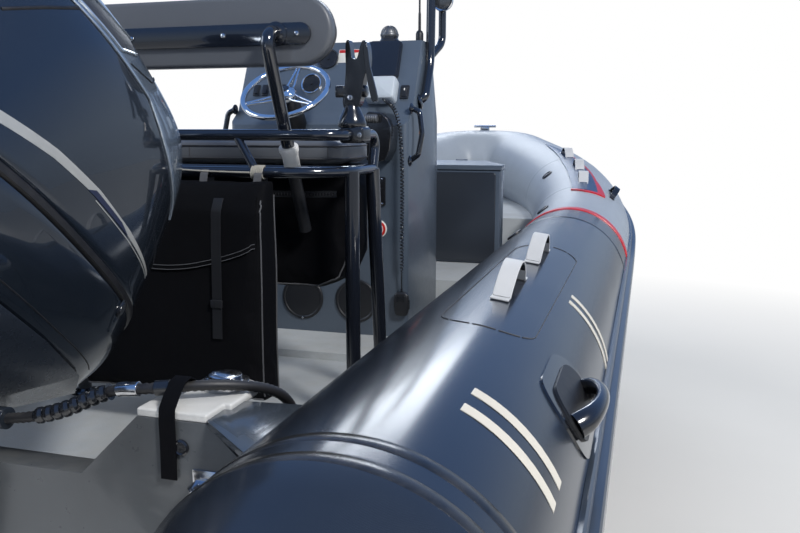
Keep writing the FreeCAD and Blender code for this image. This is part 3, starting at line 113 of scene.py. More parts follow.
class Tree:
    """Short hand for one node tree."""

    def __init__(self, tree):
        self.tree = tree

    def node(self, kind, **values):
        made = self.tree.nodes.new(kind)
        for key, value in values.items():
            setattr(made, key, value)
        return made

    def link(self, source, target):
        self.tree.links.new(source, target)

    def math(self, operation, a, b=0.5, clamp=False):
        made = self.node("ShaderNodeMath", operation=operation, use_clamp=clamp)
        for index, value in enumerate((a, b)):
            self.feed(made.inputs[index], value)
        return made.outputs[0]

    def feed(self, target, value):
        if isinstance(value, bpy.types.NodeSocket):
            self.link(value, target)
        else:
            target.default_value = value

    def noise(self, vector, scale, detail=3.0, roughness=0.5):
        made = self.node("ShaderNodeTexNoise")
        self.link(vector, made.inputs["Vector"])
        self.feed(made.inputs["Scale"], scale)
        made.inputs["Detail"].default_value = detail
        made.inputs["Roughness"].default_value = roughness
        return made.outputs["Fac"]

    def spread(self, value, low, high, to_low=0.0, to_high=1.0):
        made = self.node("ShaderNodeMapRange")
        self.feed(made.inputs["Value"], value)
        for name, number in (("From Min", low), ("From Max", high),
                             ("To Min", to_low), ("To Max", to_high)):
            self.feed(made.inputs[name], number)
        return made.outputs[0]

    def mix_color(self, amount, a, b, blend="MIX"):
        made = self.node("ShaderNodeMix", data_type="RGBA", blend_type=blend)
        self.feed(made.inputs[0], amount)
        self.feed(made.inputs[6], a)
        self.feed(made.inputs[7], b)
        return made.outputs[2]


def new_group(name, inputs, outputs):
    """A node group; a tuple as default, or the name Color, makes a colour socket."""
    group = bpy.data.node_groups.new(name, "ShaderNodeTree")
    kinds = {True: "NodeSocketColor", False: "NodeSocketFloat"}
    for label, default in inputs.items():
        kind = kinds[isinstance(default, tuple)]
        made = group.interface.new_socket(label, in_out="INPUT", socket_type=kind)
        made.default_value = default
    for label in outputs:
        kind = kinds[label == "Color"]
        group.interface.new_socket(label, in_out="OUTPUT", socket_type=kind)
    tree = Tree(group)
    entry = tree.node("NodeGroupInput")
    leave = tree.node("NodeGroupOutput")
    return group, tree, entry.outputs, leave.inputs


def make_aged_group():
    """Broad stains, fine grain and worn edges over one base colour."""
    group, t, entry, leave = new_group("aged_surface", {"Color": (0.5, 0.5, 0.5, 1), "Stain":
        (0.2, 0.2, 0.2, 1), "Worn": (0.7, 0.7, 0.7, 1), "Stain Amount": 0.3, "Wear Amount": 0.3,
        "Roughness": 0.4, "Roughness Spread": 0.15, "Grain Scale": 400.0},
        ("Color", "Roughness", "Height"))
    place = t.node("ShaderNodeTexCoord").outputs["Object"]
    shape = t.node("ShaderNodeNewGeometry")
    broad = t.spread(t.noise(place, 3.5, 5.0, 0.6), 0.45, 0.75)
    grain = t.noise(place, entry["Grain Scale"], 2.0)
    fine = t.noise(place, 38.0, 4.0, 0.65)
    stain = t.math("MULTIPLY", broad, entry["Stain Amount"])
    color = t.mix_color(stain, entry["Color"], entry["Stain"])
    edge = t.spread(shape.outputs["Pointiness"], 0.53, 0.62)
    broken = t.math("MULTIPLY", edge, t.spread(fine, 0.42, 0.6))
    wear = t.math("MULTIPLY", broken, entry["Wear Amount"])
    color = t.mix_color(wear, color, entry["Worn"])
    t.link(color, leave["Color"])
    swing = t.math("MULTIPLY", t.math("SUBTRACT", fine, 0.5), entry["Roughness Spread"])
    t.link(t.math("ADD", entry["Roughness"], swing, True), leave["Roughness"])
    t.link(grain, leave["Height"])
    return group


def make_weave_group():
    """Crossing threads for webbing, canvas and coated fabric, with painted thread shade."""
    group, t, entry, leave = new_group("thread_weave", {"Threads": 900.0, "Slack": 0.2},
        ("Height", "Painted Shade"))
    place = t.node("ShaderNodeTexCoord").outputs["Object"]
    parts = t.node("ShaderNodeSeparateXYZ")
    t.link(place, parts.inputs[0])
    wobble = t.math("MULTIPLY", t.noise(place, 60.0), entry["Slack"])
    waves = []
    for first, second in (("X", "Z"), ("Y", "Z")):
        a = t.math("MULTIPLY", t.math("ADD", parts.outputs[first], parts.outputs[second]),
            entry["Threads"])
        waves.append(t.math("SINE", t.math("ADD", a, wobble)))
    cross = t.math("MULTIPLY", waves[0], waves[1])
    height = t.spread(cross, -1.0, 1.0)
    t.link(height, leave["Height"])
    # Colour from 0.75 to 1.1 by thread height: painted shade in the hollows between threads,
    # painted highlight on their crests.
    t.link(t.spread(height, 0.0, 1.0, 0.75, 1.1), leave["Painted Shade"])
    return group


def make_dust_group():
    """Dust that lies on what faces up."""
    group, t, entry, leave = new_group("settled_dust", {"Amount": 0.3, "Scale": 12.0}, ("Mask",))
    shape = t.node("ShaderNodeNewGeometry")
    parts = t.node("ShaderNodeSeparateXYZ")
    t.link(shape.outputs["Normal"], parts.inputs[0])
    place = t.node("ShaderNodeTexCoord").outputs["Object"]
    upward = t.spread(parts.outputs["Z"], 0.25, 1.0)
    patchy = t.spread(t.noise(place, entry["Scale"], 6.0, 0.65), 0.4, 0.72)
    t.link(t.math("MULTIPLY", t.math("MULTIPLY", upward, patchy), entry["Amount"]), leave["Mask"])
    return group


def make_scuff_group():
    """Long thin scratches, stretched along the boat."""
    group, t, entry, leave = new_group("long_scuffs", {"Scale": 9.0, "Amount": 0.5}, ("Mask",))
    place = t.node("ShaderNodeTexCoord").outputs["Object"]
    stretch = t.node("ShaderNodeMapping")
    stretch.inputs["Scale"].default_value = (14.0, 1.0, 14.0)
    stretch.inputs["Rotation"].default_value = (0.2, 0.15, 0.35)
    t.link(place, stretch.inputs["Vector"])
    lines = t.spread(t.noise(stretch.outputs[0], entry["Scale"], 4.0, 0.7), 0.63, 0.7)
    t.link(t.math("MULTIPLY", lines, entry["Amount"]), leave["Mask"])
    return group


AGED = make_aged_group()
WEAVE = make_weave_group()
DUST = make_dust_group()
SCUFF = make_scuff_group()
DUST_COLOR = (0.42, 0.4, 0.36, 1)


# Materials.

def rgba(color):
    return (color[0], color[1], color[2], 1.0)


def finish(name, slot, color, roughness=0.4, stain=None, worn=None, stain_amount=0.25,
           wear=0.25, spread=0.15, grain=400.0, bump=0.05, bump_depth=0.0004, metallic=0.0,
           coat=0.0, coat_roughness=0.1, dust=0.0, weave=0.0, weave_depth=0.0003, scuff=0.0,
           specular=0.5, sheen=0.0, flake=0.0):
    """One procedural material from the shared surface groups."""
    material = bpy.data.materials.new(name)
    material.use_nodes = True
    t = Tree(material.node_tree)
    shader = material.node_tree.nodes["Principled BSDF"]
    aged = t.node("ShaderNodeGroup", node_tree=AGED)
    darker = tuple(c * 0.55 for c in color)
    lighter = tuple(min(1.0, c * 1.6 + 0.06) for c in color)
    for socket, value in (("Color", rgba(color)), ("Stain", rgba(stain or darker)),
            ("Worn", rgba(worn or lighter)), ("Stain Amount", stain_amount),
            ("Wear Amount", wear), ("Roughness", roughness), ("Roughness Spread", spread),
            ("Grain Scale", grain)):
        socket_value(aged, socket, value)
    base = aged.outputs["Color"]
    rough = aged.outputs["Roughness"]
    height = aged.outputs["Height"]
    bumps = t.node("ShaderNodeBump")
    bumps.inputs["Strength"].default_value = bump
    bumps.inputs["Distance"].default_value = bump_depth
    t.link(height, bumps.inputs["Height"])
    normal = bumps.outputs[0]
    if weave:
        threads = t.node("ShaderNodeGroup", node_tree=WEAVE)
        socket_value(threads, "Threads", weave)
        woven = t.node("ShaderNodeBump")
        woven.inputs["Strength"].default_value = 0.6
        woven.inputs["Distance"].default_value = weave_depth
        t.link(threads.outputs["Height"], woven.inputs["Height"])
        t.link(normal, woven.inputs["Normal"])
        normal = woven.outputs[0]
        # The weave's second output darkens the colour between threads and lightens it on their
        # crests: painted shade and painted highlight.
        base = t.mix_color(0.8, base, threads.outputs["Painted Shade"], "MULTIPLY")
    if scuff:
        marks = t.node("ShaderNodeGroup", node_tree=SCUFF)
        socket_value(marks, "Amount", scuff)
        base = t.mix_color(marks.outputs[0], base, rgba(lighter))
        rough = t.math("ADD", rough, t.math("MULTIPLY", marks.outputs[0], 0.3), True)
    if dust:
        settled = t.node("ShaderNodeGroup", node_tree=DUST)
        socket_value(settled, "Amount", dust)
        base = t.mix_color(settled.outputs[0], base, DUST_COLOR)
        rough = t.math("ADD", rough, t.math("MULTIPLY", settled.outputs[0], 0.5), True)
    if flake:
        cells = t.node("ShaderNodeTexVoronoi")
        cells.inputs["Scale"].default_value = flake
        t.link(t.node("ShaderNodeTexCoord").outputs["Object"], cells.inputs["Vector"])
        bright = t.spread(cells.outputs["Distance"], 0.0, 0.6, 1.25, 0.8)
        base = t.mix_color(1.0, base, bright, "MULTIPLY")
    t.link(base, shader.inputs["Base Color"])
    t.link(rough, shader.inputs["Roughness"])
    t.link(normal, shader.inputs["Normal"])
    for socket, value in (("Metallic", metallic), ("Coat Weight", coat),
            ("Coat Roughness", coat_roughness), ("Specular IOR Level", specular),
            ("Sheen Weight", sheen)):
        shader.inputs[socket].default_value = value
    material["slot"] = slot
    return material


TUBE_BLACK = finish("tube_black_fabric", "tube_black", (0.014, 0.019, 0.03), 0.26,
    stain=(0.026, 0.034, 0.048), stain_amount=0.4, wear=0.0, weave=THREADS, weave_depth=0.0,
    dust=0.0, coat=0.4, coat_roughness=0.14, bump=0.0, spread=0.015)
PATCH_BLACK = finish("patch_black_fabric", "tube_black", (0.01, 0.011, 0.013), 0.22,
    stain=(0.03, 0.03, 0.034), weave=THREADS, weave_depth=0.0001, dust=0.1, coat=0.3,
    coat_roughness=0.2, wear=0.1)
TUBE_GREY = finish("tube_grey_fabric", "tube_grey", (0.4, 0.45, 0.52), 0.4,
    stain=(0.3, 0.34, 0.4), stain_amount=0.35, wear=0.0, weave=THREADS, weave_depth=0.0001,
    dust=0.05, bump=0.15, grain=60.0)
TRIANGLE_GREY = finish("panel_blue_grey", "tube_grey", (0.03, 0.065, 0.15), 0.32, weave=THREADS,
    weave_depth=0.0001, wear=0.0)
BAND_RED = finish("band_red_fabric", "band_red", (0.62, 0.01, 0.022), 0.34,
    stain=(0.3, 0.01, 0.012), weave=THREADS, weave_depth=0.0001, dust=0.06)
STRAKE = finish("strake_rubber_black", "strake_rubber", (0.04, 0.052, 0.072), 0.3,
    stain_amount=0.15, wear=0.0, spread=0.05, coat=0.5, coat_roughness=0.15, bump=0.0)
GRAPHIC = finish("graphic_bar_white", "webbing", (0.72, 0.69, 0.62), 0.45, weave=THREADS,
    weave_depth=0.0001, dust=0.1)
WEBBING = finish("strap_webbing_pale", "webbing", (0.62, 0.64, 0.68), 0.42,
    stain=(0.42, 0.44, 0.48), stain_amount=0.5, weave=1500.0, weave_depth=0.0004, wear=0.0,
    sheen=0.2)
HULL = finish("hull_gelcoat_grey", "hull_laminate", (0.085, 0.094, 0.105), 0.3,
    stain=(0.05, 0.05, 0.05), stain_amount=0.35, wear=0.2, coat=0.5, coat_roughness=0.12,
    scuff=0.15, dust=0.15)
DECK = finish("deck_non_skid", "deck_laminate", (0.4, 0.43, 0.46), 0.62, stain=(0.24, 0.24, 0.23),
    stain_amount=0.5, grain=260.0, bump=0.9, bump_depth=0.0012, dust=0.25, wear=0.1)
CONSOLE = finish("console_gelcoat", "console_laminate", (0.074, 0.098, 0.135), 0.32,
    stain=(0.05, 0.066, 0.092), stain_amount=0.3, coat=0.4, coat_roughness=0.16, wear=0.0,
    dust=0.03, grain=120.0, bump=0.06)
CONSOLE_DARK = finish("console_panel_dark", "moulding_black", (0.02, 0.025, 0.034), 0.34,
    coat=0.2, wear=0.0, grain=700.0, bump=0.15)
MOULD_BLACK = finish("moulding_black_grain", "moulding_black", (0.012, 0.013, 0.016), 0.42,
    dust=0.03, grain=900.0, bump=0.2, wear=0.05)
MOULD_GLOSS = finish("moulding_black_gloss", "moulding_black", (0.01, 0.011, 0.014), 0.18,
    coat=0.6, coat_roughness=0.08, wear=0.0)
MOULD_PALE = finish("moulding_pale_satin", "moulding_pale", (0.6, 0.61, 0.62), 0.4,
    stain=(0.35, 0.34, 0.32), stain_amount=0.4, dust=0.12)
RADIO_PALE = finish("radio_case_pale", "moulding_pale", (0.5, 0.57, 0.66), 0.34, wear=0.0)
GUSSET = finish("gusset_dark_gloss", "gusset_dark", (0.045, 0.058, 0.078), 0.24,
    stain_amount=0.15, wear=0.0, spread=0.06, coat=0.5, coat_roughness=0.12, bump=0.0)
FRAME_BLACK = finish("frame_black_coat", "frame_black", (0.008, 0.01, 0.016), 0.16,
    stain_amount=0.0, wear=0.0, spread=0.05, coat=0.9, coat_roughness=0.05, bump=0.0)
STAINLESS = finish("stainless_polished", "stainless", (0.62, 0.62, 0.63), 0.16,
    stain=(0.42, 0.4, 0.37), stain_amount=0.3, metallic=1.0, spread=0.12)
STAINLESS_DULL = finish("tube_grey_satin", "stainless", (0.16, 0.165, 0.17), 0.42, metallic=0.7,
    dust=0.1)
CHROME = finish("lamp_chrome_bright", "lamp_chrome", (0.78, 0.78, 0.79), 0.07, metallic=1.0,
    spread=0.06, stain_amount=0.1)
DARK_CHROME = finish("chrome_dark_knurl", "stainless", (0.12, 0.12, 0.13), 0.28, metallic=0.9)
COLLAR_WHITE = finish("collar_white_nylon", "moulding_pale", (0.86, 0.87, 0.88), 0.35, wear=0.0)
INSTRUMENT = finish("instrument_black_gloss", "instrument_black", (0.012, 0.012, 0.014), 0.16,
    dust=0.06, coat=0.5, coat_roughness=0.05)
LENS_DARK = finish("lamp_glass_dark", "lamp_chrome", (0.05, 0.055, 0.065), 0.08, coat=1.0,
    coat_roughness=0.02, wear=0.0)
DIAL = finish("dial_face_black", "instrument_black", (0.01, 0.01, 0.011), 0.35)
DIAL_MARK = finish("dial_mark_white", "moulding_pale", (0.75, 0.75, 0.74), 0.4)
MARK_RED = finish("dial_mark_red", "lamp_red", (0.6, 0.03, 0.02), 0.4, wear=0.0)
SWITCH_RED = finish("switch_red_plastic", "lamp_red", (0.5, 0.015, 0.012), 0.3, dust=0.05)
STICKER = finish("sticker_bare_orange", "lamp_red", (0.75, 0.24, 0.02), 0.45)
STICKER_PALE = finish("sticker_bare_pale", "moulding_pale", (0.7, 0.7, 0.68), 0.5)
BAG = finish("bag_black_canvas", "cover_fabric", (0.0022, 0.0024, 0.0036), 0.8,
    stain=(0.005, 0.005, 0.007), stain_amount=0.4, weave=1700.0, wear=0.0, weave_depth=0.0005,
    sheen=0.0, specular=0.12)
BAG_EDGE = finish("bag_edge_tape", "cover_fabric", (0.085, 0.088, 0.098), 0.6, weave=2000.0,
    weave_depth=0.0004, wear=0.0)
VINYL_DARK = finish("seat_vinyl_dark", "seat_vinyl", (0.03, 0.031, 0.036), 0.42, grain=650.0,
    bump=0.35, dust=0.12, sheen=0.1)
VINYL_GREY = finish("seat_vinyl_grey", "seat_vinyl", (0.1, 0.11, 0.13), 0.4,
    stain=(0.075, 0.08, 0.095), grain=650.0, bump=0.25, wear=0.0)
THREAD = finish("seam_thread_dark", "seat_vinyl", (0.06, 0.06, 0.065), 0.7)
CORD = finish("cord_black_rubber", "cord_black", (0.014, 0.015, 0.018), 0.26, wear=0.0, coat=0.4,
    coat_roughness=0.15)
HOSE = finish("hose_black_ribbed", "cord_black", (0.014, 0.014, 0.016), 0.5, dust=0.12)
ROPE = finish("rope_braid_pale", "webbing", (0.38, 0.37, 0.34), 0.8, weave=2400.0,
    weave_depth=0.0008)
ENGINE_GREY = finish("engine_paint_graphite", "engine_grey", (0.016, 0.023, 0.036), 0.22,
    stain=(0.012, 0.017, 0.026), metallic=0.35, coat=1.0, coat_roughness=0.03, flake=1400.0,
    wear=0.0, bump=0.0)
ENGINE_SEAM = finish("engine_seam_black", "engine_grey", (0.008, 0.008, 0.01), 0.5)
ENGINE_LOW = finish("engine_pan_graphite", "engine_grey", (0.018, 0.024, 0.036), 0.28,
    metallic=0.3, coat=0.7, coat_roughness=0.08, wear=0.05, dust=0.03)
TRIM_SILVER = finish("engine_trim_silver", "engine_silver", (0.2, 0.26, 0.35), 0.2, metallic=0.6,
    coat=1.0, coat_roughness=0.04, wear=0.0)
TRIM_BRIGHT = finish("engine_trim_bright", "engine_silver", (0.52, 0.6, 0.7), 0.18, metallic=0.7,
    coat=0.8, coat_roughness=0.04, wear=0.0)
STRIPE_SILVER = finish("stripe_silver_film", "engine_silver", (0.42, 0.43, 0.43), 0.34,
    metallic=0.3)
STRIPE_BLUE = finish("stripe_blue_film", "engine_silver", (0.012, 0.018, 0.055), 0.3, wear=0.0)
BRACKET = finish("bracket_dark_paint", "bracket_dark", (0.018, 0.024, 0.034), 0.3, metallic=0.3,
    coat=0.5, coat_roughness=0.12, wear=0.15, worn=(0.2, 0.22, 0.24), dust=0.04)
PROPELLER = finish("propeller_polished", "propeller_steel", (0.52, 0.52, 0.53), 0.2, metallic=1.0,
    scuff=0.3)
GALVANISED = finish("steel_galvanised", "galvanised", (0.44, 0.46, 0.48), 0.46,
    stain=(0.3, 0.3, 0.3), stain_amount=0.6, metallic=0.75, flake=60.0, dust=0.2, spread=0.3)
CARPET = finish("bunk_carpet_black", "bunk_carpet", (0.018, 0.018, 0.02), 0.95, grain=900.0,
    bump=1.0, bump_depth=0.002, dust=0.25, sheen=0.4)
ROLLER = finish("roller_rubber_black", "roller_rubber", (0.02, 0.02, 0.021), 0.6, dust=0.2)
FENDER = finish("fender_galvanised", "fender_steel", (0.4, 0.42, 0.44), 0.42, stain_amount=0.5,
    metallic=0.7, flake=60.0, dust=0.25)
TYRE = finish("tyre_rubber_black", "tyre_rubber", (0.018, 0.018, 0.019), 0.72,
    stain=(0.06, 0.055, 0.05), stain_amount=0.6, dust=0.3, wear=0.2)
RIM = finish("rim_silver_paint", "rim_steel", (0.5, 0.51, 0.52), 0.32, stain=(0.25, 0.22, 0.19),
    stain_amount=0.35, metallic=0.6, coat=0.3)
LENS_RED = finish("lamp_lens_red", "lamp_red", (0.42, 0.008, 0.008), 0.1, coat=1.0,
    coat_roughness=0.03)
LENS_CLEAR = finish("lamp_lens_white", "moulding_pale", (0.75, 0.76, 0.77), 0.08, coat=1.0)


# Mesh building.

def basis(origin, axis, across=None):
    """A placing matrix whose Z runs along axis and whose X is close to across."""
    z = Vector(axis).normalized()
    guess = Vector(across) if across is not None else Vector((1, 0, 0))
    if abs(guess.normalized().dot(z)) > 0.98:
        guess = Vector((0, 1, 0))
    y = z.cross(guess).normalized()
    x = y.cross(z)
    turn = Matrix((x, y, z)).transposed().to_4x4()
    return shifted(Vector(origin)) @ turn


def rounded_path(points, bend, step=radians(9)):
    """The points with each corner turned into an arc of the bend radius."""
    points = [Vector(p) for p in points]
    bends = bend if isinstance(bend, (list, tuple)) else [bend] * (len(points) - 2)
    out = [points[0]]
    for i in range(1, len(points) - 1):
        a = (points[i] - points[i - 1]).normalized()
        b = (points[i + 1] - points[i]).normalized()
        turn = a.angle(b)
        if turn < 0.02 or bends[i - 1] <= 0:
            out.append(points[i])
            continue
        back = bends[i - 1] * math.tan(turn / 2)
        first = points[i] - a * back
        axis = a.cross(b).normalized()
        centre = first + axis.cross(a) * bends[i - 1]
        count = max(2, int(turn / step) + 1)
        for k in range(count + 1):
            q = Quaternion(axis, turn * k / count)
            out.append(centre + q @ (first - centre))
    out.append(points[-1])
    return out


def carried_frames(path, up=None):
    """Position and two cross axes at each point of a path, without twist."""
    frames = []
    ahead = (path[1] - path[0]).normalized()
    side = Vector(up) if up is not None else Vector((0, 0, 1))
    if abs(side.normalized().dot(ahead)) > 0.95:
        side = Vector((1, 0, 0))
    side = (side - ahead * side.dot(ahead)).normalized()
    for i, p in enumerate(path):
        before = path[max(0, i - 1)]
        after = path[min(len(path) - 1, i + 1)]
        now = (after - before).normalized()
        turn = ahead.rotation_difference(now)
        side = turn @ side
        ahead = now
        frames.append((p, side.copy(), ahead.cross(side)))
    return frames


class Shape:
    """Collects faces for one object."""

    def __init__(self):
        self.verts = []
        self.faces = []

    def add(self, verts, faces, place=None):
        base = len(self.verts)
        for v in verts:
            v = Vector(v)
            self.verts.append(place @ v if place is not None else v)
        self.faces += [tuple(base + i for i in f) for f in faces]
        return self

    def loft(self, rings, closed=True, caps=True, place=None):
        n = len(rings[0])
        verts = [v for ring in rings for v in ring]
        faces = []
        last = n if closed else n - 1
        for r in range(len(rings) - 1):
            for i in range(last):
                j = (i + 1) % n
                a = r * n
                faces.append((a + i, a + j, a + n + j, a + n + i))
        if caps and closed:
            faces.append(tuple(reversed(range(n))))
            faces.append(tuple(len(verts) - n + i for i in range(n)))
        return self.add(verts, faces, place)

    def box(self, xs, ys, zs, place=None):
        corners = [(x, y, z) for z in zs for y in ys for x in xs]
        faces = [(0, 2, 3, 1), (4, 5, 7, 6), (0, 1, 5, 4), (2, 6, 7, 3), (0, 4, 6, 2),
            (1, 3, 7, 5)]
        return self.add(corners, faces, place)

    def prism(self, outline, depth, place=None):
        """An outline in the XY plane, from z = 0 to z = depth."""
        rings = [[(x, y, 0) for x, y in outline], [(x, y, depth) for x, y in outline]]
        return self.loft(rings, place=place)

    def lathe(self, profile, place=None, sides=40, closed_profile=False):
        """A profile of (radius, height) turned about Z."""
        rings = []
        for k in range(sides):
            a = TURN * k / sides
            rings.append([(r * cos(a), r * sin(a), h) for r, h in profile])
        n = len(profile)
        verts = [v for ring in rings for v in ring]
        faces = []
        last = n if closed_profile else n - 1
        for k in range(sides):
            m = (k + 1) % sides
            for i in range(last):
                j = (i + 1) % n
                faces.append((k * n + i, m * n + i, m * n + j, k * n + j))
        if not closed_profile:
            faces.append(tuple(k * n for k in reversed(range(sides))))
            faces.append(tuple(k * n + n - 1 for k in range(sides)))
        return self.add(verts, faces, place)

    def pipe(self, path, radius, sides=16, place=None, squash=1.0, up=None):
        frames = carried_frames([Vector(p) for p in path], up)
        radii = radius if isinstance(radius, (list, tuple)) else [radius] * len(frames)
        rings = []
        for (p, a, b), r in zip(frames, radii):
            ring = []
            for k in range(sides):
                turn = TURN * k / sides
                ring.append(p + a * (cos(turn) * r * squash) + b * (sin(turn) * r))
            rings.append(ring)
        return self.loft(rings, place=place)

    def ribbon(self, path, width, thick, across, place=None):
        """A flat strap along a path; across is the direction of its width."""
        across = Vector(across).normalized()
        rings = []
        for i, p in enumerate(path):
            ahead = (path[min(len(path) - 1, i + 1)] - path[max(0, i - 1)]).normalized()
            out = across.cross(ahead).normalized() * (thick / 2)
            side = across * (width / 2)
            rings.append([p - side - out, p + side - out, p + side + out, p - side + out])
        return self.loft(rings, place=place)

    def bolt(self, origin, axis, head=0.01, height=0.006, washer=1.5):
        place = basis(origin, axis)
        self.lathe([(head * washer, 0), (head * washer, 0.0016), (head * 1.05, 0.0018)], place,
            20)
        hexagon = [(head * cos(pi / 3 * k), head * sin(pi / 3 * k)) for k in range(6)]
        lift = place @ shifted((0, 0, 0.0014))
        return self.prism(hexagon, height, lift)

    def screw(self, origin, axis, head=0.005):
        place = basis(origin, axis)
        return self.lathe([(head, 0), (head * 0.95, head * 0.3), (head * 0.6, head * 0.5),
            (head * 0.2, head * 0.42)], place, 16)

    def object(self, name, material, body=BOAT, bevel=0.0, segments=2, subdivide=0,
               replaces=(), angle=35, place=None):
        mesh = bpy.data.meshes.new(name)
        verts = [place @ v for v in self.verts] if place is not None else self.verts
        mesh.from_pydata([tuple(v) for v in verts], [], self.faces)
        return dress_mesh(name, mesh, material, body, bevel, segments, subdivide, replaces, angle)


def dress_mesh(name, mesh, material, body, bevel=0.0, segments=2, subdivide=0, replaces=(),
               angle=35):
    """Give a mesh its object, material, normals, modifiers and body."""
    work = bmesh.new()
    work.from_mesh(mesh)
    bmesh.ops.remove_doubles(work, verts=work.verts, dist=1e-6)
    bmesh.ops.recalc_face_normals(work, faces=work.faces)
    work.to_mesh(mesh)
    work.free()
    piece = bpy.data.objects.new(name, mesh)
    in_scene(piece)
    mesh.materials.clear()
    mesh.materials.append(material)
    mesh.shade_smooth()
    if bevel:
        edge = piece.modifiers.new("edge", "BEVEL")
        edge.width = bevel
        edge.segments = segments
        edge.limit_method = "ANGLE"
        edge.angle_limit = radians(angle)
        edge.harden_normals = True
    elif not subdivide:
        mesh.set_sharp_from_angle(angle=radians(angle))
    if subdivide:
        smooth = piece.modifiers.new("smooth", "SUBSURF")
        smooth.levels = subdivide
        smooth.render_levels = subdivide
    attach(piece, body)
    for node in replaces:
        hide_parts(node)
    return piece


def body_of_node(node):
    for name, nodes in frame["record"]["behaviour"]["bodies"].items():
        if node in nodes:
            return name
    raise ValueError(node)


def dressed(node, material, bevel=0.003, segments=2, angle=30):
    """A copy of a CAD node with softened edges, which stands for the node."""
    source = frame["nodes"][node]
    mesh = source.data.copy()
    work = bmesh.new()
    work.from_mesh(mesh)
    bmesh.ops.remove_doubles(work, verts=work.verts, dist=2e-6)
    bmesh.ops.dissolve_limit(work, angle_limit=radians(0.4), verts=work.verts, edges=work.edges,
        delimit={"NORMAL"})
    work.to_mesh(mesh)
    work.free()
    return dress_mesh(node + "_skin", mesh, material, body_of_node(node), bevel, segments, 0,
        (node,), angle)


# Camera.

camera_data = bpy.data.cameras.new("photo_camera")
camera = bpy.data.objects.new("photo_camera", camera_data)
in_scene(camera)
CAMERA_AT = Vector((1.31, -4.0, 1.787))
YAW = radians(16.7)
PITCH = radians(9.6)
camera.location = CAMERA_AT
camera.rotation_euler = (pi / 2 - PITCH, 0, YAW)
camera_data.sensor_width = 36.0
camera_data.lens = 36.0 * 820 / 800
camera_data.clip_start = 0.02
camera_data.clip_end = 200
bpy.context.scene.camera = camera


# Cords.

def nurbs_route(name, points):
    """A route's NURBS curve and the points that it passes through."""
    curve = bpy.data.curves.new(name, "CURVE")
    curve.dimensions = "3D"
    curve.resolution_u = 24
    spline = curve.splines.new("NURBS")
    spline.points.add(len(points) - 1)
    for control, p in zip(spline.points, points):
        control.co = (p[0], p[1], p[2], 1)
    spline.order_u = 3
    spline.use_endpoint_u = True
    holder = bpy.data.objects.new(name, curve)
    in_scene(holder)
    bpy.context.view_layer.update()
    mesh = bpy.data.meshes.new_from_object(holder)
    line = [v.co.copy() for v in mesh.vertices]
    bpy.data.objects.remove(holder)
    bpy.data.meshes.remove(mesh)
    return line


def line_length(points):
    return sum((b - a).length for a, b in zip(points, points[1:]))


def even_points(points, step):
    """The same line with points a step apart."""
    total = line_length(points)
    count = max(2, int(total / step))
    out = [points[0].copy()]
    target = total / count
    run = 0.0
    for a, b in zip(points, points[1:]):
        span = (b - a).length
        while run + span >= target * len(out) - 1e-9 and len(out) < count:
            share = (target * len(out) - run) / span
            out.append(a.lerp(b, share))
        run += span
    out.append(points[-1].copy())
    return out


MIC_CORD_R = 0.009
MIC_ROUTE = [(0.24, -0.758, 1.912), (0.318, -0.815, 1.888), (0.366, -0.861, 1.815),
    (0.379, -0.872, 1.7), (0.382, -0.874, 1.54), (0.379, -0.872, 1.38), (0.378, -0.868, 1.25),
    (0.372, -0.8513, 1.138), ]
HOSE_R = 0.01
HOSE_ROUTE = [(0.236, -2.86, 1.275), (0.33, -2.866, 1.288), (0.44, -2.838, 1.342),
    (0.51, -2.846, 1.35), (0.625, -2.806, 1.358), (0.692, -2.716, 1.33), (0.69, -2.626, 1.26),
    (0.668, -2.56, 1.16), (0.66, -2.49, 1.04), (0.654, -2.436, 0.89), ]


def curly_cord():
    """The microphone's cord: straight leads at both ends of a long run of coils."""
    line = even_points(nurbs_route("mic_cord_route", MIC_ROUTE), 0.0008)
    frames = carried_frames(line)
    total = line_length(line)
    wire = 0.0026
    turns = 64
    path = []
    run = 0.0
    for i, (p, a, b) in enumerate(frames):
        if i:
            run += (line[i] - line[i - 1]).length
        share = run / total
        wide = min(1.0, max(0.0, (share - 0.04) / 0.05), max(0.0, (0.93 - share) / 0.04))
        turn = TURN * turns * share
        offset = (MIC_CORD_R - wire) * wide
        path.append(p + a * (cos(turn) * offset) + b * (sin(turn) * offset))
    cord = Shape().pipe(path, wire, 8).object("mic_curly_cord", CORD, replaces=("mic_cord",))
    return cord, line


mic_cord, mic_line = curly_cord()


def microphone():
    x, y, z = MIC_ROUTE[-1]
    place = shifted((x, y, z - 0.062))
    rings = []
    sections = ((-0.05, 0.02, 0.01), (-0.044, 0.029, 0.014), (-0.01, 0.031, 0.0155),
        (0.03, 0.032, 0.0155), (0.046, 0.026, 0.012), (0.05, 0.014, 0.008))
    for h, w, d in sections:
        ring = []
        for k in range(20):
            a = TURN * k / 20
            c, s = cos(a), sin(a)
            ring.append((math.copysign(abs(c) ** 0.5, c) * w, math.copysign(abs(s) ** 0.5, s) * d,
                h))
        rings.append(ring)
    case = Shape().loft(rings, place=place).object("mic_case", MOULD_BLACK, subdivide=1,
        replaces=("microphone",))
    detail = Shape()
    for row in range(5):
        detail.box((-0.016, 0.016), (-0.0165, -0.015), (0.012 + row * 0.005, 0.0145 + row *
            0.005), place)
    detail.box((0.03, 0.0335), (-0.006, 0.006), (-0.02, 0.018), place)
    detail.pipe([place @ Vector((0, 0, 0.048)), place @ Vector((0, 0, 0.064))], [0.006, 0.0035],
        14)
    detail.object("mic_grille_and_key", MOULD_GLOSS, bevel=0.0006)
    return case


mic_case = microphone()


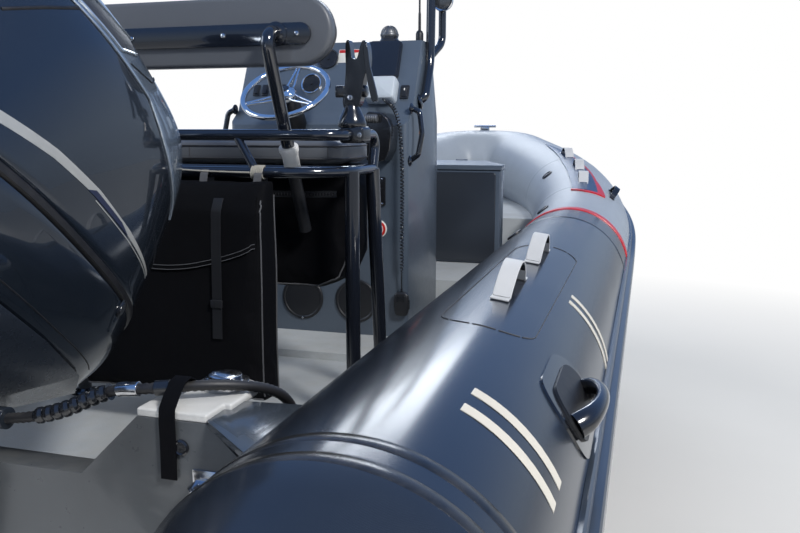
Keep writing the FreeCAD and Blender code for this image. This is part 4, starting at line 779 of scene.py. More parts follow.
def rigging_hose():
    line = even_points(nurbs_route("hose_route", HOSE_ROUTE), 0.006)
    radii = [HOSE_R * (0.93 + 0.07 * cos(i * pi)) for i in range(len(line))]
    hose = Shape().pipe(line, radii, 18).object("rigging_hose_ribbed", HOSE,
        replaces=("rigging_hose",))
    near = [p for p in line if p.y < -2.78]
    boots = Shape()
    boot = [p for p in near if 0.3 < p.x < 0.445]
    boots.pipe(boot, [HOSE_R + (0.005 if k % 3 else 0.002) for k in range(len(boot))], 20)
    boots.pipe([p for p in near if 0.528 < p.x < 0.556], HOSE_R + 0.0035, 20)
    boots.object("hose_boots", MOULD_GLOSS, angle=25)
    Shape().pipe([p for p in near if 0.455 < p.x < 0.505], HOSE_R + 0.003,
        20).object("hose_ferrule", STAINLESS, bevel=0.0015)
    Shape().ribbon([Vector((0.578, y, z)) for y, z in ((-2.812, 1.35), (-2.816, 1.366),
        (-2.83, 1.374), (-2.848, 1.37), (-2.868, 1.352), (-2.8835, 1.334), (-2.8855, 1.315),
        (-2.885, 1.27), (-2.8865, 1.214))], 0.03, 0.0026,
        Vector((1, 0, 0))).object("hose_strap_tail", BAG, bevel=0.0008)


rigging_hose()


# Tube skin.

def tube_frame(s):
    """Centre, outboard and up directions of the starboard tube at distance s."""
    spot = Vector((TUBE_X, min(s, BEND_Y), TUBE_Z))
    ahead, out, up = Vector((0, 1, 0)), Vector((1, 0, 0)), Vector((0, 0, 1))
    left = s - BEND_Y
    for kind, size, angle in TUBE_STEPS:
        if left <= 0:
            break
        length = size if kind == "line" else size * angle
        use = min(left, length)
        left -= use
        if kind == "line":
            spot = spot + ahead * use
            continue
        inward = up if kind == "rise" else -out
        turn = Quaternion(ahead.cross(inward), use / size)
        centre = spot + inward * size
        spot = centre + turn @ (spot - centre)
        ahead, out, up = turn @ ahead, turn @ out, turn @ up
    return spot, out, up


def on_tube(s, degrees, lift=0.0, side=1, radius=TUBE_R):
    """A point on the tube's skin: 0 degrees faces outboard, 90 degrees up."""
    spot, out, up = tube_frame(s)
    a = radians(degrees)
    p = spot + out * (cos(a) * (radius + lift)) + up * (sin(a) * (radius + lift))
    return Vector((p.x * side, p.y, p.z))


def tube_normal(s, degrees, side=1):
    return (on_tube(s, degrees, 0.1, side) - on_tube(s, degrees, 0, side)).normalized()


def stations(start, end):
    """Distances along the tube, closer where it bends."""
    out = [start]
    while out[-1] < end - 1e-6:
        here = out[-1]
        step = 0.06 if here < 2.2 else 0.022
        out.append(min(end, here + step))
    return out


def side_tube(side, name, node):
    """Straight black tube with its cone and end plug, slightly taut between seams."""
    rings = []
    profile = [(-3.62, 0.0), (-3.62, CONE_TIP_R - 0.012), (-3.612, CONE_TIP_R),
        (-3.575, CONE_TIP_R)]
    for k in range(11):
        share = k / 10
        profile.append((-3.57 + share * CONE_LEN, CONE_TIP_R + share * (TUBE_R - CONE_TIP_R)))
    y = TUBE_AFT + 0.04
    while y < BAND_Y:
        profile.append((y, TUBE_R))
        y += 0.04
    profile.append((BAND_Y, TUBE_R))
    profile.append((BAND_Y, 0.0))
    for y, r in profile:
        ring = []
        for k in range(96):
            a = TURN * k / 96
            slack = 0.0
            if r > TUBE_R - 0.002:
                spot = Vector((cos(a) * 2.2, y * 2.0, sin(a) * 2.2 + side * 7))
                slack = -0.0016 * max(0.0, noise.noise(spot * 1.6))
            ring.append((side * (TUBE_X + cos(a) * (r + slack)), y, TUBE_Z + sin(a) *
                (r + slack)))
        rings.append(ring)
    return Shape().loft(rings, caps=False).object(name, TUBE_BLACK, replaces=(node,), angle=50)


def bow_tube_skin():
    rings = []
    marks = stations(BAND_Y, BOW_S)
    for side in (1, -1):
        order = marks if side > 0 else list(reversed(marks[:-1]))
        for s in order:
            rings.append([on_tube(s, 360 * k / 96, 0, side) for k in range(96)])
    return Shape().loft(rings).object("bow_tube_skin", TUBE_GREY, replaces=("bow_tube",),
        angle=60)


def along_both(name, section, start, material, replaces=(), angle=40, end=BOW_S):
    """Sweep a section of (degrees, lift) round the whole tube from stern to stern."""
    rings = []
    marks = stations(start, end)
    for side in (1, -1):
        order = marks if side > 0 else list(reversed(marks[:-1]))
        for s in order:
            rings.append([on_tube(s, a, lift, side) for a, lift in section])
    return Shape().loft(rings).object(name, material, replaces=replaces, angle=angle)


def tube_ring(name, s, width, lift, material, side, a0=-180.0, a1=180.0):
    """A tape round the tube, from angle a0 to a1."""
    full = a1 - a0 > 359
    count = 96 if full else max(8, int((a1 - a0) / 4))
    rings = []
    for k in range(count + (0 if full else 1)):
        a = a0 + (a1 - a0) * k / count
        rings.append([on_tube(s - width / 2, a, 0.0, side), on_tube(s - width / 2 + 0.002, a,
            lift, side), on_tube(s + width / 2 - 0.002, a, lift, side),
            on_tube(s + width / 2, a, 0.0, side)])
    if full:
        rings.append(rings[0])
    return Shape().loft(rings, closed=True, caps=not full).object(name, material, angle=60)


def rounded_outline(length, width, radius, per_corner=8):
    points = []
    for cx, cy, start in ((1, 1, 0), (-1, 1, 90), (-1, -1, 180), (1, -1, 270)):
        for k in range(per_corner + 1):
            a = radians(start + 90 * k / per_corner)
            points.append((cx * (length / 2 - radius) + radius * cos(a), cy * (width / 2 - radius)
                + radius * sin(a)))
    return points


def finer(outline, step):
    """The closed outline with points at most a step apart."""
    out = []
    for (x0, y0), (x1, y1) in zip(outline, outline[1:] + outline[:1]):
        count = max(1, math.ceil(hypot(x1 - x0, y1 - y0) / step))
        out += [(x0 + (x1 - x0) * k / count, y0 + (y1 - y0) * k / count) for k in range(count)]
    return out


def tube_sheet(name, left, right, lift, material, side, across=10, along=60):
    """A film between two edges on the tube, each a list of (distance, degrees)."""
    def place_on(edge, t):
        share = t * (len(edge) - 1)
        i = min(int(share), len(edge) - 2)
        return [edge[i][c] + (edge[i + 1][c] - edge[i][c]) * (share - i) for c in (0, 1)]

    rings = []
    for k in range(along + 1):
        a, b = place_on(left, k / along), place_on(right, k / along)
        row = [(a[0] + (b[0] - a[0]) * m / across, a[1] + (b[1] - a[1]) * m / across) for m in
            range(across + 1)]
        rings.append([on_tube(s, d, lift, side) for s, d in row] + [on_tube(s, d, -0.0006, side)
            for s, d in reversed(row)])
    return Shape().loft(rings).object(name, material, angle=60)


def tube_patch(name, s, degrees, outline, lift, material, side=1, spin=0.0, rings=8, body=BOAT):
    """A flat outline of (along, around) metres glued on the tube's skin."""
    outline = finer(outline, 0.02)
    cs, sn = cos(spin), sin(spin)
    verts = []
    faces = []
    n = len(outline)

    def mapped(u, v, h):
        uu, vv = u * cs - v * sn, u * sn + v * cs
        return on_tube(s + uu, degrees + math.degrees(vv / TUBE_R), h, side)

    verts.append(mapped(0, 0, lift))
    for r in range(1, rings + 1):
        share = r / rings
        verts += [mapped(u * share, v * share, lift) for u, v in outline]
    grow = 1.0 + 0.0012 / max(0.02, max(abs(u) for u, _ in outline))
    verts += [mapped(u * grow, v * grow, -0.0004) for u, v in outline]
    for i in range(n):
        j = (i + 1) % n
        faces.append((0, 1 + i, 1 + j))
        for r in range(rings):
            a = 1 + r * n
            faces.append((a + i, a + n + i, a + n + j, a + j))
    return Shape().add(verts, faces).object(name, material, body, angle=50)


side_tube(1, "starboard_tube_skin", "tube_starboard")
side_tube(-1, "port_tube_skin", "tube_port")
bow_tube_skin()

STRAKE_SECTION = [(-12.2, 0.0), (-12.0, 0.009), (-11.0, 0.013), (-8.2, 0.013), (-7.6, 0.008),
    (-6.2, 0.008), (-5.6, 0.026), (-4.6, 0.0295), (4.6, 0.0295), (5.6, 0.026), (6.2, 0.008),
    (7.6, 0.008), (8.2, 0.013), (11.0, 0.013), (12.0, 0.009), (12.2, 0.0)]
along_both("rub_strake_ribbed", STRAKE_SECTION, -3.15, STRAKE, ("rub_strakes",), 24)

for side, label in ((1, "starboard"), (-1, "port")):
    band = tube_ring("red_band_" + label, BAND_Y, 0.085, 0.004, BAND_RED, side)
    if side > 0:
        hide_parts("red_bands")
    for index, s in enumerate((-3.15, -3.085, -0.375)):
        tube_ring("seam_tape_%s_%d" % (label, index), s, 0.028, 0.0012, PATCH_BLACK, side)
    tube_ring("seam_grey_" + label, 0.72, 0.03, 0.0012, TUBE_GREY, side)
    tube_ring("seam_grey_forward_" + label, 1.62, 0.03, 0.0012, TUBE_GREY, side)
    trace = Shape()
    outline = rounded_outline(1.15, 0.205, 0.085, 12)
    line = even_points([Vector((u, v, 0)) for u, v in outline + outline[:1]], 0.006)
    for k in range(0, len(line) - 9, 9):
        trace.pipe([on_tube(-1.865 + p.x, 80 + math.degrees(p.y / TUBE_R), 0.0006, side) for p in
            line[k:k + 9]], 0.0011, 6)
    trace.object("strap_outline_" + label, BAG_EDGE)


def strap_arch(name, s, degrees, length, height, width, side, material=WEBBING):
    """A webbing grab strap that arches off the tube and is sewn down at both feet."""
    path = []
    count = 28
    for k in range(count + 1):
        share = k / count
        along = (share - 0.5) * length
        rise = sin(pi * share) ** 0.8 * height
        path.append(on_tube(s + along, degrees, 0.0036 + rise, side))
    for lead, sign in ((0.035, -1), (0.035, 1)):
        tail = on_tube(s + sign * (length / 2 + lead), degrees, 0.0036, side)
        path = [tail] + path if sign < 0 else path + [tail]
    spot, out, up = tube_frame(s)
    a = radians(degrees)
    across = -out * sin(a) + up * cos(a)
    across = Vector((across.x * side, across.y, across.z))
    strap = Shape().ribbon(path, width, 0.0042, across).object(name, material, bevel=0.0014)
    Shape().ribbon([p - tube_normal(s, degrees, side) * 0.003 for p in path[5:-5]], width * 0.94,
        0.0026, across).object(name + "_lining", PATCH_BLACK, bevel=0.0008)
    trim = Shape()
    for sign in (-1, 1):
        foot = s + sign * (length / 2 + 0.012)
        for edge in (-1, 1):
            offset = edge * (width / 2 - 0.004)
            line = [on_tube(foot - k * 0.006 * sign, degrees + math.degrees(offset / TUBE_R),
                0.0062, side) for k in range(0, 6)]
            trim.pipe(line, 0.0007, 6)
        for k in range(2):
            cross = [on_tube(foot - sign * 0.03 * k, degrees + math.degrees(v / TUBE_R), 0.0062,
                side) for v in (-width / 2 + 0.004, 0, width / 2 - 0.004)]
            trim.pipe(cross, 0.0007, 6)
    trim.object(name + "_stitches", THREAD)
    return strap


for side, label in ((1, "starboard"), (-1, "port")):
    first = strap_arch("grab_strap_aft_" + label, -2.05, 82, 0.235, 0.066, 0.044, side)
    strap_arch("grab_strap_forward_" + label, -1.525, 82, 0.215, 0.066, 0.044, side)
    if side > 0:
        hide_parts("grab_straps")


def lift_handle(side, label):
    """Moulded rubber handle: an oval base and a bowed grip that rises outboard."""
    s, degrees = -2.48, 32
    tube_patch("handle_base_" + label, s, degrees, rounded_outline(0.3, 0.17, 0.084), 0.004,
        MOULD_GLOSS, side, rings=8)
    tube_patch("handle_inner_" + label, s, degrees, rounded_outline(0.235, 0.112, 0.055), 0.009,
        MOULD_BLACK, side, rings=6)
    spine = []
    for k in range(21):
        share = k / 20
        along = (share - 0.5) * 0.215
        rise = 0.008 + sin(pi * share) ** 0.5 * 0.044
        spine.append(on_tube(s + along, degrees - 3, rise, side))
    radii = [0.024 - 0.009 * sin(pi * k / 20) for k in range(21)]
    return Shape().pipe(spine, radii, 20, squash=0.72,
        up=tube_normal(s, degrees, side)).object("handle_grip_" + label, MOULD_GLOSS, angle=60)


for side, label in ((1, "starboard"), (-1, "port")):
    grip = lift_handle(side, label)
    if side > 0:
        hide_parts("lift_handles")
    slant = [(-0.012, -0.095), (0.018, -0.095), (0.046, 0.095), (0.016, 0.095)]
    for index, (s, a) in enumerate(((-1.93, 32), (-1.86, 32), (-2.905, 48), (-2.83, 48))):
        tube_patch("graphic_bar_%s_%d" % (label, index), s, a, slant, 0.0009, GRAPHIC, side)
    for s in (-0.62, 0.35, 1.35):
        place = basis(on_tube(s, 128, 0.0, side), tube_normal(s, 128, side))
        valve = Shape()
        valve.lathe([(0.036, 0.0), (0.036, 0.006), (0.028, 0.009), (0.027, 0.004), (0.018, 0.004),
            (0.016, 0.008), (0.002, 0.008)], place, 32)
        valve.object("tube_valve_%s_%d" % (label, int(s * 100) + 100), MOULD_BLACK, bevel=0.001)
    inner_edge = [(0.6, 70), (0.81, 73), (1.08, 76), (1.3, 80), (1.67, 83), (1.96, 85), (2.2, 90)]
    far_edge = [(0.64, 99), (0.85, 101), (1.05, 103), (1.49, 102), (1.85, 97), (2.1, 94),
        (2.2, 91)]
    tube_sheet("bow_panel_" + label, far_edge, inner_edge, 0.0065, TRIANGLE_GREY, side)
    tube_sheet("bow_panel_red_" + label, inner_edge[:5], [(0.6, 61), (0.76, 66), (0.91, 71),
        (1.22, 75.5), (1.67, 82)], 0.007, BAND_RED, side)
    tube_sheet("bow_panel_foot_" + label, [(0.645, 100), (0.6, 84), (0.605, 61)], [(0.62, 100),
        (0.575, 84), (0.58, 61)], 0.0074, BAND_RED, side)
    for index, s in enumerate((0.88, 1.27, 1.7)):
        strap_arch("bow_strap_%s_%d" % (label, index), s, 87, 0.15, 0.05, 0.055, side)
    strap_arch("bow_handle_" + label, 0.76, 52, 0.13, 0.05, 0.032, side, MOULD_GLOSS)


# Stage.

def soft_light(name, at, toward, width, height, watts, color=(1, 1, 1)):
    data = bpy.data.lights.new(name, "AREA")
    data.shape = "RECTANGLE"
    data.size = width
    data.size_y = height
    data.energy = watts
    data.color = color
    lamp = bpy.data.objects.new(name, data)
    in_scene(lamp)
    lamp.location = at
    lamp.rotation_euler = (Vector(toward) - Vector(at)).to_track_quat("-Z", "Y").to_euler()
    return lamp


def studio():
    floor_mesh = bpy.data.meshes.new("studio_floor")
    half = 60.0
    floor_mesh.from_pydata([(-half, -half, 0), (half, -half, 0), (half, half, 0),
        (-half, half, 0)], [], [(0, 1, 2, 3)])
    floor = bpy.data.objects.new("studio_floor", floor_mesh)
    in_scene(floor)
    material = bpy.data.materials.new("floor_pale")
    material.use_nodes = True
    t = Tree(material.node_tree)
    shader = material.node_tree.nodes["Principled BSDF"]
    place = t.node("ShaderNodeTexCoord").outputs["Object"]
    mottled = t.spread(t.noise(place, 0.6, 4.0), 0.3, 0.7, 0.0, 1.0)
    t.link(t.mix_color(mottled, (0.8, 0.8, 0.8, 1), (0.84, 0.84, 0.84, 1)),
        shader.inputs["Base Color"])
    shader.inputs["Roughness"].default_value = 0.9
    shader.inputs["Specular IOR Level"].default_value = 0.1
    apart = t.node("ShaderNodeVectorMath", operation="LENGTH")
    t.link(place, apart.inputs[0])
    far = t.spread(apart.outputs["Value"], 3.0, 6.5)
    rays = t.node("ShaderNodeLightPath")
    seen = t.math("MULTIPLY", far, rays.outputs["Is Camera Ray"], True)
    glow = t.node("ShaderNodeEmission")
    mixed = t.node("ShaderNodeMixShader")
    t.link(seen, mixed.inputs[0])
    t.link(shader.outputs[0], mixed.inputs[1])
    t.link(glow.outputs[0], mixed.inputs[2])
    t.link(mixed.outputs[0], material.node_tree.nodes["Material Output"].inputs["Surface"])
    floor_mesh.materials.append(material)
    world = bpy.data.worlds.new("studio_world")
    world.use_nodes = True
    bpy.context.scene.world = world
    t = Tree(world.node_tree)
    ground = world.node_tree.nodes["Background"]
    rays = t.node("ShaderNodeLightPath")
    direction = t.node("ShaderNodeTexCoord").outputs["Generated"]
    parts = t.node("ShaderNodeSeparateXYZ")
    t.link(direction, parts.inputs[0])
    sky = t.node("ShaderNodeValToRGB")
    stops = sky.color_ramp.elements
    stops[0].position = 0.42
    stops.new(0.54)
    stops.new(0.68)
    sky_colors = ((0.24, 0.25, 0.27, 1), (0.55, 0.68, 0.88, 1), (0.2, 0.4, 0.88, 1),
        (0.16, 0.34, 0.8, 1))
    for stop, color in zip(stops, sky_colors):
        stop.color = color
    t.link(t.spread(parts.outputs["Z"], -1.0, 1.0), sky.inputs[0])
    t.link(t.mix_color(rays.outputs["Is Glossy Ray"], (0.58, 0.62, 0.68, 1), sky.outputs[0]),
        ground.inputs["Color"])
    ground.inputs["Strength"].default_value = 0.7
    white = t.node("ShaderNodeBackground")
    white.inputs["Color"].default_value = (1, 1, 1, 1)
    choose = t.node("ShaderNodeMixShader")
    t.link(rays.outputs["Is Camera Ray"], choose.inputs[0])
    t.link(ground.outputs[0], choose.inputs[1])
    t.link(white.outputs[0], choose.inputs[2])
    t.link(choose.outputs[0], world.node_tree.nodes["World Output"].inputs["Surface"])
    soft_light("key_light", (6.5, -6.0, 7.5), (0, -0.8, 1.2), 1.6, 1.6, 780, (1, 0.97, 0.92))
    soft_light("fill_light", (-7.0, -3.5, 5.0), (0, -0.5, 1.2), 4.0, 3.0, 130, (0.85, 0.92, 1))
    soft_light("back_light", (-2.0, 8.0, 6.0), (0, 0, 1.2), 4.0, 2.0, 200, (0.9, 0.95, 1))
    bpy.context.scene.view_settings.view_transform = "Standard"


studio()


def stern_details():
    """A snap link in the stern eye, a transom plug and the cord wound on the post's ring."""
    link = Shape()
    centre = Vector((0.646, -2.908, 1.16))
    loop = [centre + Vector((0.012 * sin(a), 0, 0.04 * cos(a))) for a in span(0, TURN, 40)]
    link.pipe(loop, 0.004, 14)
    link.lathe([(0.0085, 0.0), (0.0085, 0.014), (0.006, 0.018)], shifted(centre +
        Vector((0, 0, 0.034))), 24)
    link.object("stern_snap_link", STAINLESS, angle=40)
    Shape().lathe([(0.014, 0.0), (0.014, 0.003), (0.011, 0.005), (0.009, 0.0035),
        (0.001, 0.0035)], basis((0.6, -2.8802, 1.27), (0, -1, 0)),
        32).object("transom_plug", MOULD_GLOSS)
    cord = Shape()
    wound = [Vector((0.232 + 0.0055 * a / (TURN), -1.87 + 0.0185 * sin(a), 1.662 + 0.0185 *
        cos(a))) for a in span(0, 14 * pi, 168)]
    cord.pipe(wound, 0.0026, 8)
    cord.pipe([(-0.001, -1.8885, 1.668), (0.1, -1.8895, 1.664), (0.232, -1.8885, 1.662)], 0.0026,
        8)
    cord.object("ring_lashing", ROPE, angle=50)


stern_details()


# Nodes with softened edges.

SOFTENED = [("hull", HULL, 0.004), ("transom", HULL, 0.006), ("transom_trim", MOULD_PALE, 0.004),
    ("stern_gussets", GUSSET, 0.002), ("metal_fittings", STAINLESS, 0.002),
    ("cockpit_deck", DECK, 0.004), ("forward_platform", DECK, 0.005), ("bow_deck", DECK, 0.006),
    ("bow_hatch_lid", DECK, 0.005), ("bow_locker", CONSOLE, 0.008),
    ("locker_lid", CONSOLE, 0.006), ("bow_locker_panel", CONSOLE_DARK, 0.003),
    ("console", CONSOLE, 0.01), ("swivel_bracket", BRACKET, 0.004),
    ("clamp_bracket", BRACKET, 0.004), ("tilt_barrel", STAINLESS, 0.002),
    ("tilt_rod", STAINLESS, 0.0015), ("bunks", CARPET, 0.006), ("keel_rollers", ROLLER, 0.004),
    ("trailer_frame", GALVANISED, 0.004), ("coupler", GALVANISED, 0.003),
    ("trailer_axle", GALVANISED, 0.003), ("fenders", FENDER, 0.002),
    ("winch_post", GALVANISED, 0.003), ("jack", GALVANISED, 0.003),
    ("engine_leg", ENGINE_LOW, 0.006), ("gearcase", ENGINE_LOW, 0.004),
    ("trailer_lamps", LENS_RED, 0.002), ]
for node_name, look, soft_edge in SOFTENED:
    dressed(node_name, look, soft_edge)


# Engine.

COWL_SECTIONS = [(1.45, 0.196, -2.56, -3.215, 0.095), (1.56, 0.232, -2.512, -3.275, 0.112),
    (1.9, 0.232, -2.5, -3.29, 0.11), (2.1, 0.2, -2.535, -3.24, 0.095),
    (2.205, 0.12, -2.66, -3.11, 0.06), ]
COWL_TOP = 2.214


def smooth_between(marks, z):
    """Values at z between the marks, with tangents taken from their neighbours."""
    last = len(marks) - 1
    z = min(max(z, marks[0][0]), marks[last][0])
    i = max(k for k in range(last) if marks[k][0] <= z + 1e-12)
    z0, z1 = marks[i][0], marks[i + 1][0]
    t = (z - z0) / (z1 - z0)
    out = []
    for column in range(1, len(marks[0])):
        here, there = marks[i][column], marks[i + 1][column]
        before, after = marks[max(0, i - 1)], marks[min(last, i + 2)]
        m0 = (there - before[column]) / (z1 - before[0]) * (z1 - z0)
        m1 = (after[column] - here) / (after[0] - z0) * (z1 - z0)
        out.append((2 * t ** 3 - 3 * t ** 2 + 1) * here + (t ** 3 - 2 * t ** 2 + t) * m0 +
            (3 * t ** 2 - 2 * t ** 3) * there + (t ** 3 - t ** 2) * m1)
    return out


def closed_spline(points, per_span):
    """A smooth closed curve through the points."""
    n = len(points)
    out = []
    for i in range(n):
        a, b, c, d = (points[(i + k) % n] for k in (-1, 0, 1, 2))
        for k in range(per_span):
            t = k / per_span
            out.append(tuple(0.5 * (2 * q + (r - p) * t + (2 * p - 5 * q + 4 * r - w) * t * t +
                (3 * q - p - 3 * r + w) * t ** 3) for p, q, r, w in zip(a, b, c, d)))
    return out


def cowl_ring(z, grow=0.0):
    """The cowl's outline at one height, starting at the nose and running to starboard."""
    half, nose, tail, nose_half = smooth_between(COWL_SECTIONS, z)
    shrink = 1.0
    top = COWL_SECTIONS[-1][0]
    if z > top:
        shrink = math.sqrt(max(0.0, 1 - ((z - top) / (COWL_TOP - top)) ** 2)) * 0.98
    length = nose - tail
    middle = (nose + tail) / 2
    right = [(nose_half * 0.45, nose + 0.012), (nose_half, nose),
        (half * 0.88, nose - 0.16 * length), (half, nose - 0.4 * length),
        (half * 0.97, nose - 0.72 * length), (half * 0.72, tail + 0.05 * length),
        (half * 0.3, tail)]
    outline = right + [(-x, y) for x, y in reversed(right)]
    ring = closed_spline(outline, 8)
    out = []
    n = len(ring)
    for i, (x, y) in enumerate(ring):
        (x0, y0), (x1, y1) = ring[i - 1], ring[(i + 1) % n]
        normal = Vector((y0 - y1, x1 - x0, 0)).normalized()
        flat = Vector((x * shrink, middle + (y - middle) * shrink, z))
        out.append(flat + normal * grow)
    return out


def cowl_shell(name, marks, material, replaces=(), cap_top=False):
    """Lofts the cowl's outline through (height, grow) marks."""
    return Shape().loft([cowl_ring(z, grow) for z, grow in marks], caps=cap_top,
        place=TILTED).object(name, material, ENGINE, replaces=replaces, angle=40)


def cowl_side(y, z, lift=0.0, side=1):
    """The cowl's skin at a place in side view."""
    ring = cowl_ring(z)
    best = None
    n = len(ring)
    for i in range(n):
        a, b = ring[i], ring[(i + 1) % n]
        if (a.y - y) * (b.y - y) <= 0 and a.y != b.y and (a.x + b.x) > 0:
            spot = a.lerp(b, (y - a.y) / (b.y - a.y))
            normal = Vector((a.y - b.y, b.x - a.x, 0)).normalized()
            if best is None or spot.x > best[0].x:
                best = (spot, normal)
    spot, normal = best
    above = cowl_ring(min(z + 0.02, COWL_SECTIONS[-1][0]))
    half = max(p.x for p in above) - max(p.x for p in ring)
    normal = (normal + Vector((0, 0, -half / 0.02 * 0.8))).normalized()
    if normal.x < 0:
        normal = -normal
    p = spot + normal * lift
    return Vector((p.x * side, p.y, p.z))


def cowl_decal(name, edges, lift, material, side, replaces=(), steps=40):
    """A film on the cowl between two lines, given as rows of (y, low z, high z)."""
    rings = []
    for k in range(steps + 1):
        share = k / steps * (len(edges) - 1)
        i = min(int(share), len(edges) - 2)
        y, z0, z1 = (edges[i][c] * (i + 1 - share) + edges[i + 1][c] * (share - i) for c in
            range(3))
        rows = [cowl_side(y, z0 + (z1 - z0) * r / 3, lift, side) for r in range(4)]
        under = [cowl_side(y, z0 + (z1 - z0) * r / 3, -0.002, side) for r in (3, 2, 1, 0)]
        rings.append(rows + under)
    return Shape().loft(rings, place=TILTED).object(name, material, ENGINE, replaces=replaces)


def cowl_line(name, points, radius, lift, material, side, steps=8):
    """A thin round bead along (y, z) points on the cowl."""
    path = []
    for (y0, z0), (y1, z1) in zip(points, points[1:]):
        for k in range(steps):
            t = k / steps
            path.append(TILTED @ cowl_side(y0 + (y1 - y0) * t, z0 + (z1 - z0) * t, lift, side))
    path.append(TILTED @ cowl_side(points[-1][0], points[-1][1], lift, side))
    return Shape().pipe(path, radius, 8).object(name, material, ENGINE)


def engine_cowl():
    low = [(1.452, -0.012), (1.456, -0.003), (1.462, 0.0)]
    low += [(z, 0.0) for z in span(1.47, 1.618, 8)] + [(1.624, -0.002), (1.627, -0.007)]
    cowl_shell("cowl_lower", low, ENGINE_GREY, ("engine_cowl",), cap_top=True)
    cowl_shell("cowl_seal", [(1.625, -0.01), (1.627, -0.001), (1.631, 0.003), (1.644, 0.003),
        (1.648, -0.001), (1.65, -0.01)], ENGINE_SEAM, cap_top=True)
    upper = [(1.648, -0.007), (1.651, -0.002), (1.656, 0.0)]
    upper += [(z, 0.0) for z in span(1.67, 2.205, 34)]
    upper += [(2.205 + (COWL_TOP - 2.206) * sin(a), 0.0) for a in span(0.2, 1.5, 7)]
    cowl_shell("cowl_upper", upper, ENGINE_GREY, cap_top=True)
    rows = []
    base = cowl_ring(2.09)
    for r in range(25):
        row = []
        t = r / 24
        for k, spot in enumerate(base):
            z0 = 2.05 - 0.5 * max(0.0, spot.y + 2.852)
            z = z0 + (2.208 - z0) * t
            grow = 0.0026 if r else 0.0002
            row.append(cowl_ring(z, grow)[k])
        rows.append(row)
    Shape().loft(rows, place=TILTED).object("cowl_cap_trim", TRIM_SILVER, ENGINE,
        replaces=("engine_trim",), angle=50)
    for side, label in ((1, "starboard"), (-1, "port")):
        cowl_decal("cowl_stripe_" + label, [(-3.19, 1.7, 1.723), (-3.04, 1.726, 1.747),
            (-2.9, 1.739, 1.758), (-2.76, 1.74, 1.754), (-2.61, 1.73, 1.736)], 0.0008,
            STRIPE_SILVER, side)
        cowl_decal("cowl_stripe_blue_" + label, [(-2.93, 1.735, 1.7365), (-2.91, 1.7365, 1.75),
            (-2.8, 1.7385, 1.7495), (-2.765, 1.7395, 1.7405)], 0.0013, STRIPE_BLUE, side)
        cowl_decal("cowl_stripe_low_" + label, [(-2.9, 1.731, 1.733), (-2.76, 1.7315, 1.734),
            (-2.61, 1.724, 1.7262)], 0.0008, STRIPE_SILVER, side)
        cowl_decal("cowl_slot_" + label, [(-3.2, 2.068, 2.104), (-3.08, 2.066, 2.118),
            (-3.0, 2.068, 2.128), (-2.945, 2.108, 2.15)], 0.0036, ENGINE_SEAM, side)
        lips = ([(-3.2, 2.064), (-3.08, 2.062), (-2.995, 2.064), (-2.94, 2.106)], [(-3.2, 2.108),
            (-3.08, 2.122), (-3.0, 2.132), (-2.94, 2.156)])
        for index, line in enumerate(lips):
            cowl_line("cowl_lip_%s_%d" % (label, index), line, 0.0048, 0.003, TRIM_BRIGHT, side)
        cowl_line("cowl_panel_edge_" + label, [(-3.2, 2.05), (-3.0, 2.05), (-2.86, 2.05),
            (-2.788, 2.019), (-2.738, 1.994), (-2.66, 1.955), (-2.58, 1.915)], 0.0026, 0.0016,
            TRIM_BRIGHT, side)
        cowl_line("cowl_joint_" + label, [(-2.955, 2.064), (-2.9, 2.084), (-2.86, 2.1),
            (-2.825, 2.152)], 0.0016, 0.0032, ENGINE_SEAM, side)
        cowl_line("cowl_rear_groove_" + label, [(-3.245, 1.905), (-3.19, 1.972), (-3.125, 2.046)],
            0.004, -0.001, ENGINE_SEAM, side)
        cowl_line("cowl_pan_seam_" + label, [(-3.14, 1.482), (-2.99, 1.482), (-2.8, 1.48),
            (-2.62, 1.482)], 0.0016, 0.0, ENGINE_SEAM, side)
        button = Shape()
        place = basis(cowl_side(-2.667, 1.612, 0.0, side), cowl_side(-2.667, 1.612, 0.1, side) -
            cowl_side(-2.667, 1.612, 0, side))
        for r, h0, h1 in ((0.015, 0.0, 0.003), (0.011, 0.002, 0.0045)):
            ring = [(cos(a) * r, sin(a) * r * 1.5, 0.0) for a in span(0, TURN, 32)[:-1]]
            top = [(x * 0.92, y * 0.92, h1) for x, y, _ in ring]
            button.loft([ring, [(x, y, h1 * 0.7) for x, y, _ in ring], top], place=TILTED @ place)
        button.object("cowl_button_" + label, MOULD_GLOSS, ENGINE)


engine_cowl()


